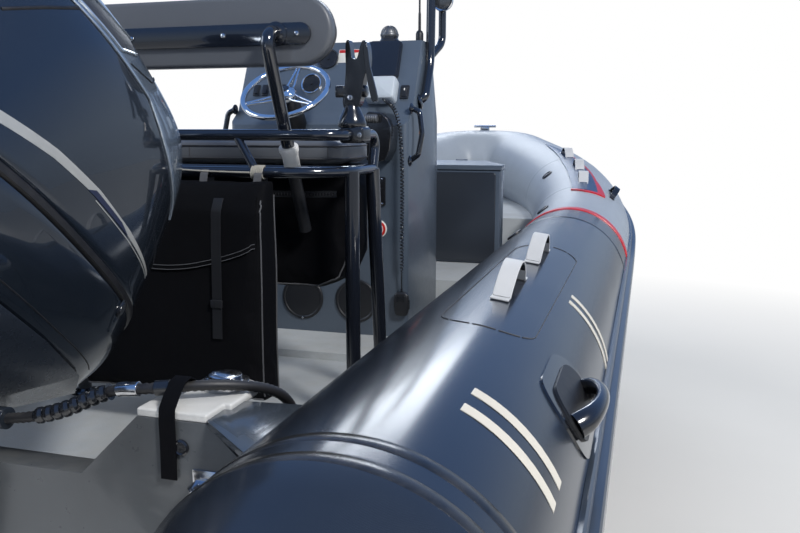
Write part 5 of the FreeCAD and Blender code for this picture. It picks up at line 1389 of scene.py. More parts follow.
def propeller():
    """Three raked blades with cupped edges on a hub, turned into the tilted place."""
    hub_aft, hub_front = -3.47, -3.362
    axis_z = 0.33
    turn = shifted((0, hub_front, axis_z)) @ Matrix.Rotation(radians(90), 4, "X")
    Shape().lathe([(0.048, 0.0), (0.05, 0.01), (0.05, 0.085), (0.047, 0.104), (0.036, 0.108),
        (0.034, 0.1), (0.014, 0.098), (0.012, 0.12), (0.004, 0.122)], TILTED @ turn,
        48).object("propeller_hub", PROPELLER, "screw", replaces=("propeller",))
    blades = Shape()
    for b in range(3):
        spin = shifted((0, -3.416, axis_z)) @ Matrix.Rotation(TURN * b / 3, 4, "Y")
        rows = []
        for i in range(19):
            u = i / 18
            r = 0.044 + u * 0.13
            chord = 0.052 + 0.09 * sin(pi * min(1.0, u * 0.86 + 0.14)) ** 0.8
            if u > 0.86:
                chord *= math.sqrt(max(0.0, 1 - ((u - 0.86) / 0.142) ** 2))
            pitch = math.atan2(0.4, TURN * max(r, 0.05))
            row = []
            for j in range(13):
                c = j / 12 - 0.5
                camber = 0.01 * (1 - (2 * c) ** 2)
                along = c * chord + 0.018 * u
                y = along * sin(pitch) - camber * cos(pitch) - 0.03 * u ** 2
                x = along * cos(pitch) + camber * sin(pitch)
                angle = x / max(r, 0.03)
                row.append(Vector((sin(angle) * r, y, cos(angle) * r)))
            rows.append(row)
        front = []
        for row in rows:
            thick = []
            for j, p in enumerate(row):
                edge = max(0.0, 1 - abs(j / 6 - 1) ** 2.5)
                thick.append(p + Vector((0, 0.0016 + 0.0042 * edge, 0)))
            front.append([*row, *reversed(thick)])
        blades.loft(front, place=TILTED @ spin)
    blades.object("propeller_blades", PROPELLER, "screw", angle=60)


propeller()


# Wheels.

TYRE_R = 0.32
TYRE_W = 0.185
RIM_R = 0.178
AXLE = Vector((1.055, -1.0, 0.32))


def road_wheel(side, label):
    body = "wheel_" + label
    place = shifted((AXLE.x * side, AXLE.y, AXLE.z))
    place = place @ Matrix.Rotation(radians(90) * side, 4, "Y")
    half = TYRE_W / 2
    profile = [(RIM_R + r, half * h) for r, h in ((0.004, -0.74), (0.012, -0.86), (0.03, -0.94),
        (0.06, -1), (0.09, -0.985))]
    profile += [(TYRE_R - r, half * h) for r, h in ((0.028, -0.93), (0.01, -0.84), (0.002, -0.7))]
    for groove in (-0.42, 0.0, 0.42):
        for offset, depth in ((-0.055, 0.0), (-0.045, 0.007), (0.045, 0.007), (0.055, 0.0)):
            profile.append((TYRE_R - 0.0005 - depth, half * (groove + offset)))
    profile += [(r, -h) for r, h in reversed(profile[:8])]
    profile += [(RIM_R + 0.002, half * 0.5), (RIM_R + 0.002, -half * 0.5)]
    Shape().lathe(profile, place, 84, closed_profile=True).object("tyre_carcass_" + label, TYRE,
        body, replaces=("tyre_" + label,), angle=40)
    # Thin dark bars on the tread mark its slits: painted shade in place of the cuts.
    sipe_shade = Shape()
    for k in range(48):
        a = TURN * k / 48
        for row, (h0, h1) in enumerate(((-0.8, -0.5), (-0.36, -0.08), (0.08, 0.36), (0.5, 0.8))):
            turn = place @ Matrix.Rotation(a + row * 0.033, 4, "Z")
            lean = 0.004 if row % 2 else -0.004
            r0, r1 = TYRE_R - 0.003, TYRE_R + 0.0002
            bar = ((r0, -0.0014), (r1, -0.0014), (r1, 0.0014), (r0, 0.0014))
            sipe_shade.loft([[(r, across + shift, half * h) for r, across in bar] for shift, h in
                ((lean, h0), (-lean, h1))], place=turn)
    sipe_shade.object("tyre_sipe_shade_" + label, ENGINE_SEAM, body)
    Shape().lathe([(RIM_R + r, h) for r, h in ((0.006, -0.068), (-0.002, -0.066),
        (-0.006, -0.055), (-0.03, -0.04), (-0.034, 0.02), (-0.012, 0.05), (-0.002, 0.066),
        (0.006, 0.068), (0.008, 0.06), (0.002, 0.052), (-0.026, 0.022), (-0.026, -0.038),
        (0, -0.056), (0.008, -0.062))], place, 72, closed_profile=True).object("rim_barrel_" +
        label, RIM, body, replaces=("rim_" + label,), angle=40)
    disc = Shape()
    disc.lathe([(RIM_R - 0.028, 0.016), (RIM_R - 0.034, 0.03), (0.125, 0.036), (0.105, 0.03),
        (0.075, 0.03), (0.06, 0.044), (0.036, 0.046), (0.034, 0.062), (0.03, 0.066),
        (0.004, 0.067)], place, 72)
    # Dark ovals lie on the disc where its openings are: painted shade in place of cut openings.
    hole_shade = Shape()
    for k in range(5):
        a = TURN * k / 5
        spot = place @ Vector((0.05 * cos(a + 0.6), 0.05 * sin(a + 0.6), 0.044))
        disc.bolt(spot, (side, 0, 0), 0.0085, 0.012, 1.2)
        centre = (0.116 * cos(a), 0.116 * sin(a))
        oval = [(centre[0] + 0.014 * cos(b), centre[1] + 0.014 * sin(b)) for b in
            span(0, TURN, 24)[:-1]]
        hole_shade.prism(oval, 0.0012, place @ shifted((0, 0, 0.0325)))
    disc.object("rim_disc_" + label, RIM, body, angle=40)
    hole_shade.object("rim_hole_shade_" + label, ENGINE_SEAM, body)


road_wheel(1, "starboard")
road_wheel(-1, "port")


# Helm.

def steering_wheel():
    place = basis(WHEEL, WHEEL_AXIS, (1, 0, 0))
    shape = Shape()
    ring = [(WHEEL_R + 0.012 * cos(a), 0.012 * sin(a)) for a in span(0, TURN, 20)[:-1]]
    shape.lathe(ring, place, 96, closed_profile=True)
    shape.lathe([(0.022, -0.03), (0.04, -0.028), (0.044, -0.02), (0.043, -0.008), (0.034, 0.004),
        (0.021, 0.011), (0.019, 0.014), (0.004, 0.015)], place, 48)
    for degrees in (90, 210, 330):
        turn = place @ Matrix.Rotation(radians(degrees), 4, "Z")
        for offset in (-0.016, 0.016):
            line = rounded_path([(0.024, offset, -0.012), (0.06, offset * 0.9, -0.014),
                (0.144, offset * 0.42, -0.004), (WHEEL_R + 0.001, offset * 0.42, 0.0)], 0.03)
            shape.pipe([turn @ v for v in line], 0.0052, 12)
    shape.object("wheel_polished", CHROME, "helm_wheel", replaces=("steering_wheel",), angle=50)
    Shape().lathe([(0.0185, 0.0135), (0.0175, 0.016), (0.004, 0.0168)], place,
        32).object("wheel_hub_cap", MOULD_GLOSS, "helm_wheel")


steering_wheel()


# Soft goods: a closed form is remeshed, blown up as cloth and held close to its start.

def cloth_blown(name, shape, cap, voxel=0.006, pressure=4.0, steps=20, pinned=None):
    """The mesh of a padded form after a short cloth run; no point moves more than cap."""
    mesh = bpy.data.meshes.new(name)
    mesh.from_pydata([tuple(v) for v in shape.verts], [], shape.faces)
    work = bmesh.new()
    work.from_mesh(mesh)
    bmesh.ops.remove_doubles(work, verts=work.verts, dist=1e-6)
    bmesh.ops.recalc_face_normals(work, faces=work.faces)
    work.to_mesh(mesh)
    work.free()
    piece = bpy.data.objects.new(name + "_run", mesh)
    in_scene(piece)
    grid = piece.modifiers.new("grid", "REMESH")
    grid.mode = "VOXEL"
    grid.voxel_size = voxel
    graph = bpy.context.evaluated_depsgraph_get()
    dense = bpy.data.meshes.new_from_object(piece.evaluated_get(graph))
    piece.modifiers.clear()
    piece.data = dense
    home = [v.co.copy() for v in dense.vertices]
    cloth = piece.modifiers.new("cloth", "CLOTH")
    settings = cloth.settings
    settings.quality = 4
    settings.mass = 0.3
    settings.use_pressure = True
    settings.uniform_pressure_force = pressure
    settings.effector_weights.gravity = 0.0
    if pinned is not None:
        held = piece.vertex_groups.new(name="held")
        held.add([v.index for v in dense.vertices if pinned(v.co)], 1.0, "ADD")
        settings.vertex_group_mass = "held"
    cloth.point_cache.frame_start = 1
    cloth.point_cache.frame_end = steps
    for number in range(1, steps + 1):
        bpy.context.scene.frame_set(number)
    graph = bpy.context.evaluated_depsgraph_get()
    blown = bpy.data.meshes.new_from_object(piece.evaluated_get(graph))
    piece.modifiers.clear()
    for point, moved, start in zip(dense.vertices, blown.vertices, home):
        move = moved.co - start
        if move.length > cap:
            move = move * (cap / move.length)
        point.co = start + move
    bpy.context.scene.frame_set(1)
    bpy.data.objects.remove(piece)
    return dense


def relaxed(mesh, turns):
    """Smooths a dense mesh a little, so that no voxel steps show."""
    work = bmesh.new()
    work.from_mesh(mesh)
    for _ in range(turns):
        bmesh.ops.smooth_vert(work, verts=work.verts, factor=0.5, use_axis_x=True,
            use_axis_y=True, use_axis_z=True)
    work.to_mesh(mesh)
    work.free()


def soft_piece(name, mesh, material, replaces=()):
    piece = dress_mesh(name, mesh, material, BOAT, subdivide=1, replaces=replaces)
    return piece


def skin_tree(mesh):
    return BVHTree.FromPolygons([v.co for v in mesh.vertices], [tuple(f.vertices) for f in
        mesh.polygons])


def laid_on(tree, points, lift):
    """The points moved to the nearest skin and lifted off it."""
    out = []
    for p in points:
        spot, normal, _, _ = tree.find_nearest(Vector(p))
        out.append(spot + normal * lift)
    return out


def slab(shape, width, height, depth, radius, place, edge=0.003, base=0.0):
    """A rounded rectangle that stands out of a surface, with a softened front edge."""
    rings = []
    for h, inset in ((base, 0.0), (depth - edge, 0.0), (depth - edge * 0.3, edge * 0.3),
                     (depth, edge)):
        outline = rounded_outline(width - 2 * inset, height - 2 * inset,
            max(0.0004, radius - inset), 6)
        rings.append([(x, y, h) for x, y in outline])
    return shape.loft(rings, place=place)


# Leaning post: black tubes, white collars, dark lower tubes and the back strip.

POST_X = 0.485
POST_AFT_Y = -1.74
RING_Z = 1.662
RING_Y = -1.87
RAIL_Z = 1.767
RAIL_Y = -1.85
RAIL_FRONT_Y = -1.512
DECK_TOP = 0.9
BACK_Y = -1.85
BACK_Z0 = 1.957
BACK_Z1 = 2.147
BACK_HALF = 0.47
BACK_T = 0.1
STRIP_Z = (BACK_Z0 + BACK_Z1) / 2 - 0.01
UPRIGHT_X = 0.31
LEAN = 150 / 335
POST_FWD_TOP_Y = -1.55
POST_FWD_FOOT_Y = -1.46
ROD_Y = POST_AFT_Y + 0.01
ELBOW_Z = STRIP_Z + 0.004


def upright_at(side, z):
    return Vector((side * UPRIGHT_X, BACK_Y + 0.055 + (RAIL_Z - 0.03 - z) * LEAN, z))


def seat_frame():
    black = Shape()
    grey = Shape()
    white = Shape()
    for side in (1, -1):
        x = side * POST_X
        black.pipe([(x, POST_AFT_Y, DECK_TOP), (x, POST_AFT_Y, RING_Z)], 0.022, 28)
        black.pipe([(x, POST_FWD_FOOT_Y, DECK_TOP), (x, POST_FWD_TOP_Y, RING_Z)], 0.022, 28)
        for y in (POST_AFT_Y, POST_FWD_FOOT_Y):
            foot = shifted((x, y, DECK_TOP))
            black.lathe([(0.045, 0.0), (0.045, 0.007), (0.042, 0.01), (0.027, 0.011),
                (0.0225, 0.018)], foot, 36)
            for k in range(4):
                a = pi / 4 + k * pi / 2
                white.screw((x + 0.035 * cos(a), y + 0.035 * sin(a), DECK_TOP + 0.0095),
                    (0, 0, 1), 0.0055)
        black.pipe([(side * 0.245, RING_Y, RING_Z), (side * 0.173, RAIL_Y, RAIL_Z)], 0.012, 20)
        top = [upright_at(side, RAIL_Z - 0.034), upright_at(side, ELBOW_Z), Vector((side *
            UPRIGHT_X, BACK_Y - 0.008, STRIP_Z))]
        black.pipe(rounded_path(top, 0.034), 0.019, 28)
        flange = basis((side * UPRIGHT_X, BACK_Y - 0.0095, STRIP_Z), (0, -1, 0))
        black.lathe([(0.034, 0.0), (0.033, 0.004), (0.024, 0.006), (0.02, 0.014)], flange, 32)
        grey.pipe([upright_at(side, 1.477), upright_at(side, RING_Z + 0.004)], 0.0188, 24)
        lean = upright_at(side, 2.0) - upright_at(side, 1.9)
        collar = basis(upright_at(side, RING_Z - 0.004), lean)
        white.lathe([(0.023, 0.0), (0.0242, 0.003), (0.0242, 0.052), (0.0262, 0.062),
            (0.029, 0.07), (0.029, 0.08), (0.0275, 0.084), (0.02, 0.084)], collar, 36)
    ring = [(POST_X, POST_FWD_TOP_Y, RING_Z), (POST_X, RING_Y, RING_Z), (-POST_X, RING_Y, RING_Z),
        (-POST_X, POST_FWD_TOP_Y, RING_Z)]
    black.pipe(rounded_path(ring, 0.18, radians(5)), 0.016, 24)
    for y in (POST_FWD_TOP_Y, -1.745):
        black.pipe([(-POST_X, y, RING_Z), (POST_X, y, RING_Z)], 0.016, 24)
    rail = [(POST_X, POST_FWD_TOP_Y, RING_Z), (POST_X, RAIL_FRONT_Y, RAIL_Z),
        (POST_X, RAIL_Y, RAIL_Z), (-POST_X, RAIL_Y, RAIL_Z), (-POST_X, RAIL_FRONT_Y, RAIL_Z),
        (-POST_X, POST_FWD_TOP_Y, RING_Z)]
    black.pipe(rounded_path(rail, [0.038, 0.075, 0.075, 0.038], radians(6)), 0.016, 24)
    black.object("seat_frame_tubes", FRAME_BLACK, replaces=("seat_frame",), angle=50)
    grey.object("seat_lower_tubes", MOULD_BLACK)
    white.object("seat_collars", COLLAR_WHITE, angle=30)
    slab(Shape(), 2 * (BACK_HALF - 0.058), 0.06, 0.0095, 0.0299,
        basis((0, BACK_Y - 0.0003, STRIP_Z), (0, -1, 0), (1, 0, 0)),
        0.0015).object("backrest_strip", FRAME_BLACK)
    bolts = Shape()
    for x in (-0.373, -0.149, 0.149, 0.373):
        place = basis((x, BACK_Y - 0.0095, STRIP_Z), (0, -1, 0))
        bolts.lathe([(0.0075, 0.0), (0.0075, 0.0015), (0.0062, 0.004), (0.0035, 0.0052),
            (0.003, 0.003), (0.0008, 0.003)], place, 24)
    bolts.object("backrest_bolts", STAINLESS)


def rounded_pad(shape, half, depth, z0, z1, corner, centre_y, crown=0.0, edge=0.016):
    """A pad lying flat: rounded rectangle in plan, softened edges and a crowned top."""
    marks = [(z0, edge * 0.8), (z0 + edge * 0.3, edge * 0.25), (z0 + edge * 0.8, 0.0),
        (z1 - edge, 0.0), (z1 - edge * 0.35, edge * 0.3), (z1, edge)]
    marks += [(z1 + crown * sin(t), edge + (depth / 2 - edge) * (1 - cos(t))) for t in
        (0.5, 0.8, 1.1, 1.3)]
    rings = []
    for z, inset in marks:
        outline = rounded_outline(2 * (half - inset), depth - 2 * inset,
            max(0.001, corner - inset), 8)
        rings.append([(x, centre_y + y, z) for x, y in outline])
    return shape.loft(rings)


def seat_cushion():
    shape = Shape()
    z0, z1 = RING_Z + 0.016 + 0.005, 1.744
    centre_y, depth, half = -1.574, 0.3, 0.443
    rounded_pad(shape, half, depth, z0, z1, 0.045, centre_y, 0.006)
    mesh = cloth_blown("seat_cushion_pad", shape, 0.006, 0.006)
    relaxed(mesh, 2)
    tree = skin_tree(mesh)
    soft_piece("seat_cushion_pad", mesh, VINYL_GREY, ("seat_cushion",))
    piping = Shape()
    for z, grow in ((z1 - 0.006, 0.01), (z0 + 0.008, 0.01)):
        outline = rounded_outline(2 * half + grow, depth + grow, 0.05, 10)
        line = laid_on(tree, [(x, centre_y + y, z) for x, y in outline], 0.0006)
        piping.pipe(line + line[:1], 0.003, 8)
    piping.object("seat_cushion_piping", VINYL_DARK, angle=60)
    seams = Shape()
    for x in (-0.385, -0.06, 0.405):
        for y_side in (-1, 1):
            y = centre_y + y_side * (depth / 2 + 0.01)
            seams.pipe(laid_on(tree, [(x, y, z) for z in span(z0 + 0.008, z1 - 0.006, 8)], 0.0),
                0.0012, 6)
    for y in (-1.64, -1.51):
        seams.pipe(laid_on(tree, [(x, y, z1 + 0.03) for x in span(-0.43, 0.43, 60)], -0.0004),
            0.0011, 6)
    seams.object("seat_cushion_seams", THREAD)


def stadium(half, low, high, per_end=20):
    """A slot outline (x, z) with round ends."""
    r = (high - low) / 2
    middle = (high + low) / 2
    points = []
    for side in (1, -1):
        for k in range(per_end + 1):
            a = -pi / 2 + pi * k / per_end
            points.append((side * (half - r + r * cos(a)), middle + side * r * sin(a)))
        count = 16
        for k in range(1, count):
            points.append((side * (half - r) * (1 - 2 * k / count), middle + side * r))
    return points


def backrest():
    rings = []
    for y, inset in ((BACK_Y + 0.001, 0.012), (BACK_Y + 0.002, 0.007), (BACK_Y + 0.006, 0.002),
                     (BACK_Y + 0.012, 0.0005), (BACK_Y + 0.034, 0.0005), (BACK_Y + 0.038, 0.004)):
        rings.append([(x, y, z) for x, z in stadium(BACK_HALF - inset, BACK_Z0 + inset, BACK_Z1 -
            inset)])
    back = Shape().loft(rings).object("backrest_shell", VINYL_GREY, replaces=("backrest",),
        angle=50)
    pad = Shape()
    rings = []
    for y, inset in ((BACK_Y + 0.04, 0.012), (BACK_Y + 0.044, 0.008), (BACK_Y + 0.075, 0.007),
                     (BACK_Y + 0.086, 0.012), (BACK_Y + 0.092, 0.03), (BACK_Y + 0.093, 0.06)):
        rings.append([(x, y, z) for x, z in stadium(BACK_HALF - inset, BACK_Z0 + inset, BACK_Z1 -
            inset)])
    pad.loft(rings)
    mesh = cloth_blown("backrest_pad", pad, 0.006, 0.006)
    relaxed(mesh, 2)
    tree = skin_tree(mesh)
    soft_piece("backrest_pad", mesh, VINYL_DARK)
    line = [Vector((x, BACK_Y + 0.038, z)) for x, z in stadium(BACK_HALF - 0.0035, BACK_Z0 +
        0.0035, BACK_Z1 - 0.0035)]
    Shape().pipe(line + line[:1], 0.0034, 10).object("backrest_piping_dark", VINYL_DARK, angle=60)
    seams = Shape()
    for x in (-0.235, 0.0, 0.235):
        seams.pipe(laid_on(tree, [(x, BACK_Y + BACK_T + 0.02, z) for z in span(BACK_Z0 + 0.012,
            BACK_Z1 - 0.012, 20)], -0.0003), 0.0012, 6)
    line = laid_on(tree, [(x, BACK_Y + 0.1, z) for x, z in stadium(BACK_HALF - 0.03, BACK_Z0 +
        0.03, BACK_Z1 - 0.03)], -0.0002)
    seams.pipe(line + line[:1], 0.0012, 6)
    seams.object("backrest_seams", THREAD)


def creased(mesh, depth, seed, across=9.0, down=2.2):
    """Hanging folds pressed into cloth along its normals."""
    normals = [v.normal.copy() for v in mesh.vertices]
    for v, normal in zip(mesh.vertices, normals):
        spot = Vector((v.co.x * across, v.co.y * across, v.co.z * down + seed))
        fold = noise.noise(spot) + 0.5 * noise.noise(spot * 2.3)
        sharp = -abs(noise.noise(spot * 1.3 + Vector((7, 0, 0)))) + 0.25
        v.co += normal * (fold * 0.7 + sharp * 0.5) * depth


def stowage_bag():
    """Canvas bag behind the seat: sagging body, piped edges, flap and strap."""
    top = RING_Z - 0.018
    profile = [(-1.862, top), (-1.862, 1.3), (-1.864, 1.018), (-1.895, 1.008), (-1.958, 1.008),
        (-1.974, 1.04), (-1.978, 1.18), (-1.972, 1.4), (-1.962, 1.56), (-1.925, top)]
    shape = Shape()
    rings = []
    for x, shrink in ((-0.306, 0.8), (-0.302, 0.93), (-0.29, 0.99), (-0.15, 1.0), (0.0, 1.0),
                      (0.15, 1.0), (0.29, 0.99), (0.302, 0.93), (0.306, 0.8)):
        middle = Vector((-1.92, 1.33))
        rings.append([(x, middle.x + (y - middle.x) * shrink, middle.y + (z - middle.y) *
            (0.97 + 0.03 * shrink)) for y, z in profile])
    shape.loft(rings)
    mesh = cloth_blown("stowage_bag_body", shape, 0.009, 0.0075, 3.0)
    relaxed(mesh, 1)
    creased(mesh, 0.006, 3.0)
    tree = skin_tree(mesh)
    soft_piece("stowage_bag_body", mesh, BAG, ("stowage_bag",))
    piping = Shape()
    for x in (-0.309, 0.309):
        for y in (-1.972, -1.868):
            line = laid_on(tree, [(x, y, z) for z in span(1.03, 1.6, 70)], 0.0014)
            piping.pipe(line, 0.0026, 8)
    piping.pipe(laid_on(tree, [(x, -1.975, 1.016) for x in span(-0.3, 0.3, 70)], 0.0014), 0.0026,
        8)
    piping.object("stowage_bag_piping", BAG_EDGE, angle=60)
    rows = []
    for k in range(49):
        x = -0.3 + 0.6 * k / 48
        drop = 1.475 - 0.085 * cos(pi * (x + 0.02) / 0.66) - 0.03 * x
        line = laid_on(tree, [(x, -2.01, z) for z in span(drop, 1.625, 14)], 0.0052)
        under = laid_on(tree, [(x, -2.01, z) for z in span(1.625, drop + 0.001, 14)], 0.0022)
        rows.append(line + under)
    Shape().loft(rows).object("stowage_bag_flap", BAG, angle=60)
    hem = Shape()
    for lift in (0.0, 0.012):
        hem.pipe([row[0] + Vector((0, -0.0006, lift)) for row in rows], 0.0012, 6)
    hem.object("stowage_bag_hem", BAG_EDGE)
    strap = Shape()
    for x in (-0.17, 0.17):
        line = laid_on(tree, [(x, -2.01, z) for z in span(1.2, 1.62, 40)], 0.0066)
        strap.ribbon(line, 0.03, 0.0022, (1, 0, 0))
        slab(strap, 0.036, 0.022, 0.006, 0.003, basis(laid_on(tree, [(x, -2.01, 1.3)], 0.0066)[0],
            (0, -1, 0)), 0.001)
    strap.object("stowage_bag_straps", MOULD_BLACK, bevel=0.0005)
    webs = Shape()
    for x in (-0.26, -0.09, 0.09, 0.26):
        loop = [Vector((x, -1.905, top - 0.03)), Vector((x, -1.894, top + 0.012)),
            Vector((x, -1.874, RING_Z + 0.0185)), Vector((x, -1.856, top + 0.012)),
            Vector((x, -1.862, top - 0.03))]
        webs.ribbon(rounded_path(loop, 0.01), 0.024, 0.0018, (1, 0, 0))
    webs.object("stowage_bag_loops", BAG_EDGE)


def seat_bag():
    """Canvas bag that hangs under the seat, with a full-width zip and piped corners."""
    top = RING_Z - 0.018
    half = 0.441
    outline = [(-half, top), (-half, 1.39), (-half + 0.035, 1.315), (-half + 0.11, 1.283),
        (half - 0.11, 1.283), (half - 0.035, 1.315), (half, 1.39), (half, top)]
    shape = Shape()
    rings = []
    for y, shrink in ((-1.633, 0.965), (-1.629, 0.985), (-1.615, 1.0), (-1.535, 1.0),
                      (-1.455, 1.0), (-1.441, 0.985), (-1.437, 0.965)):
        rings.append([(x * shrink, y, 1.47 + (z - 1.47) * shrink) for x, z in outline])
    shape.loft(rings)
    mesh = cloth_blown("seat_bag_body", shape, 0.007, 0.0075, 3.0)
    relaxed(mesh, 1)
    creased(mesh, 0.005, 11.0, 7.0, 3.0)
    tree = skin_tree(mesh)
    soft_piece("seat_bag_body", mesh, BAG, ("seat_bag",))
    piping = Shape()
    for y in (-1.637, -1.433):
        edge = [(-half - 0.004, 1.6), (-half - 0.004, 1.39), (-half + 0.032, 1.312),
            (-half + 0.11, 1.28), (half - 0.11, 1.28), (half - 0.032, 1.312),
            (half + 0.004, 1.39), (half + 0.004, 1.6)]
        path = even_points(rounded_path([(x, y, z) for x, z in edge], 0.06), 0.012)
        piping.pipe(laid_on(tree, path, 0.001), 0.0026, 8)
    piping.object("seat_bag_piping", BAG_EDGE, angle=60)
    line = laid_on(tree, [(x, -1.66, 1.585) for x in span(-0.4, 0.4, 80)], 0.0016)
    Shape().ribbon(line, 0.02, 0.0016, (0, 0, 1)).object("seat_bag_zip", MOULD_BLACK)
    teeth = Shape()
    for a, b in zip(line[::1], line[1::1]):
        teeth.box((-0.0016, 0.0016), (-0.0036, 0.0036), (-0.001, 0.0016), basis(a.lerp(b, 0.5) +
            Vector((0, -0.0012, 0)), (0, -1, 0), (1, 0, 0)))
    teeth.object("seat_bag_zip_teeth", DARK_CHROME)


def rod_holder():
    """Black moulded rod rest: clamp, domed base, square knob, open fork and blade lever."""
    x, y = POST_X, ROD_Y
    body = Shape()
    upright = Matrix.Rotation(radians(90), 4, "X")
    slab(body, 0.074, 0.048, 0.033, 0.012, shifted((x + 0.0075, y, RAIL_Z)) @ upright, 0.004,
        -0.033)
    body.lathe([(0.038, 0.02), (0.0415, 0.025), (0.0415, 0.034), (0.037, 0.048), (0.028, 0.066),
        (0.0225, 0.078), (0.021, 0.084)], shifted((x - 0.001, y, RAIL_Z)), 48)
    knob = basis((x - 0.046, y, RAIL_Z + 0.123), (1, 0, 0))
    slab(body, 0.034, 0.034, 0.028, 0.008, knob, 0.003)
    body.lathe([(0.012, 0.026), (0.012, 0.078), (0.017, 0.08), (0.017, 0.09), (0.014, 0.092)],
        knob, 32)
    fork = [(-0.021, 0.078), (-0.017, 0.138), (-0.013, 0.186), (-0.013, 0.253), (-0.004, 0.266),
        (0.001, 0.247), (0.005, 0.219), (0.013, 0.213), (0.022, 0.217), (0.031, 0.247),
        (0.04, 0.264), (0.053, 0.25), (0.055, 0.197), (0.041, 0.153), (0.026, 0.083)]
    body.prism(closed_spline(fork, 3), 0.034, shifted((x, y + 0.017, RAIL_Z)) @ upright)
    body.object("rod_rest", MOULD_GLOSS, bevel=0.003, segments=3, replaces=("rod_holder",),
        angle=40)
    blade = [(0.043, 0.245), (0.056, 0.245), (0.064, 0.191), (0.086, 0.103), (0.077, 0.095),
        (0.067, 0.099), (0.051, 0.173)]
    Shape().prism(closed_spline(blade, 3), 0.01, shifted((x, y - 0.0175, RAIL_Z)) @
        upright).object("rod_rest_lever", MOULD_GLOSS, bevel=0.002, segments=3, angle=40)
    screws = Shape()
    for dx in (-0.018, 0.033):
        screws.bolt((x + dx, y - 0.033, RAIL_Z), (0, -1, 0), 0.0048, 0.003)
    screws.bolt((x, y - 0.0165, RAIL_Z + 0.105), (0, -1, 0), 0.005, 0.003)
    screws.object("rod_rest_screws", STAINLESS)


seat_frame()
seat_cushion()
backrest()
stowage_bag()
seat_bag()
rod_holder()


# Console: instruments on the sloping dash and fittings on its aft face.

def dash_place(x, z, off=0.0):
    """A placing matrix on the dash: X across, Y up the slope, Z out of it."""
    run = ROOF - LEDGE
    share = (z - LEDGE.z) / run.z
    normal = Vector((0, -run.z, run.y)).normalized()
    return basis(Vector((x, LEDGE.y + share * run.y, z)) + normal * off, normal, (1, 0, 0))


def dial(x, z, radius, label, material):
    """A round gauge: bezel, dark face, hub and marks round its edge."""
    place = dash_place(x, z)
    bezel = Shape()
    bezel.lathe([(radius, 0.0), (radius, 0.005), (radius * 0.97, 0.008), (radius * 0.9, 0.0085),
        (radius * 0.85, 0.0062), (radius * 0.845, 0.003)], place, 56)
    face = Shape()
    face.lathe([(radius * 0.85, 0.0), (radius * 0.85, 0.0034), (0.001, 0.0036)], place, 56)
    face.lathe([(0.006, 0.0034), (0.0055, 0.006), (0.001, 0.0064)], place, 24)
    face.object("gauge_face_" + label, DIAL)
    lines = Shape()
    for k in range(13):
        turn = place @ Matrix.Rotation(radians(225 - 22.5 * k), 4, "Z")
        lines.box((radius * 0.7, radius * 0.78), (-0.0006, 0.0006), (0.0034, 0.0039), turn)
    lines.object("gauge_marks_" + label, BAG_EDGE)
    return bezel.object("gauge_bezel_" + label, material, angle=30)


def instruments():
    plotter = Shape()
    place = dash_place(0.238, 2.061)
    slab(plotter, 0.148, 0.176, 0.015, 0.02, place, 0.004)
    slab(plotter, 0.138, 0.166, 0.0215, 0.016, place, 0.006, 0.012)
    plotter.object("plotter_cover", MOULD_GLOSS, replaces=("dash_instruments",), angle=30)
    place = dash_place(0.254, 1.93)
    slab(Shape(), 0.128, 0.104, 0.054, 0.016, place, 0.014).object("radio_cover", RADIO_PALE,
        bevel=0.0015)
    rocker = Shape()
    place = dash_place(0.347, 1.93)
    slab(rocker, 0.036, 0.06, 0.005, 0.004, place, 0.001)
    tip = place @ Matrix.Rotation(radians(7), 4, "X")
    slab(rocker, 0.022, 0.044, 0.0095, 0.002, tip, 0.001, 0.0035)
    rocker.object("dash_rocker_switch", MOULD_BLACK, angle=30)
    slab(Shape(), 0.005, 0.01, 0.0099, 0.0008, tip @ shifted((0, 0.01, 0)), 0.0002,
        0.0092).object("dash_rocker_mark", DIAL_MARK)
    dial(-0.07, 1.97, 0.046, "low", CHROME)
    dial(-0.012, 2.075, 0.046, "middle", INSTRUMENT)
    dial(-0.158, 2.075, 0.046, "port", CHROME)
    slab(Shape(), 0.01, 0.006, 0.004, 0.001, dash_place(-0.158, 2.075) @
        shifted((0.0, -0.022, 0)), 0.0002, 0.003).object("gauge_dot_red", MARK_RED)
    switches = Shape()
    for k in range(4):
        place = dash_place(-0.32 + 0.04 * k, 1.945)
        slab(switches, 0.028, 0.052, 0.0045, 0.004, place, 0.001)
        slab(switches, 0.018, 0.038, 0.0085, 0.002, place @ Matrix.Rotation(radians(-6), 4, "X"),
            0.001, 0.0035)
    switches.object("dash_switch_row", MOULD_BLACK, angle=30)
    place = dash_place(0.077, 2.086)
    slab(Shape(), 0.09, 0.062, 0.0006, 0.003, place,
        0.0002).object("dash_label_bare", STICKER_PALE)
    slab(Shape(), 0.086, 0.014, 0.0009, 0.001, place @ shifted((0, 0.022, 0)), 0.0002,
        0.0005).object("dash_label_bar", SWITCH_RED)


def compass():
    place = shifted((0.228, -0.548, ROOF_Z))
    Shape().lathe([(0.041, 0.0), (0.041, 0.01), (0.037, 0.015), (0.0375, 0.028), (0.036, 0.036)],
        place, 48).object("compass_foot", INSTRUMENT, replaces=("compass",), angle=25)
    dome = Shape()
    dome.lathe([(0.0385, 0.026), (0.0395, 0.029), (0.0395, 0.036), (0.0375, 0.039)], place, 48)
    dome.lathe([(0.036, 0.036)] + [(0.036 * cos(t), 0.036 + 0.0345 * sin(t)) for t in
        span(0.1, 1.5, 10)], place, 48)
    for k in range(14):
        a = TURN * k / 14
        line = []
        for t in span(0.12, 1.3, 10):
            r = 0.0362 * cos(t)
            line.append(place @ Vector((r * cos(a), r * sin(a), 0.036 + 0.0347 * sin(t))))
        dome.pipe(line, 0.0016, 8)
    dome.object("compass_dome", STAINLESS_DULL, angle=40)


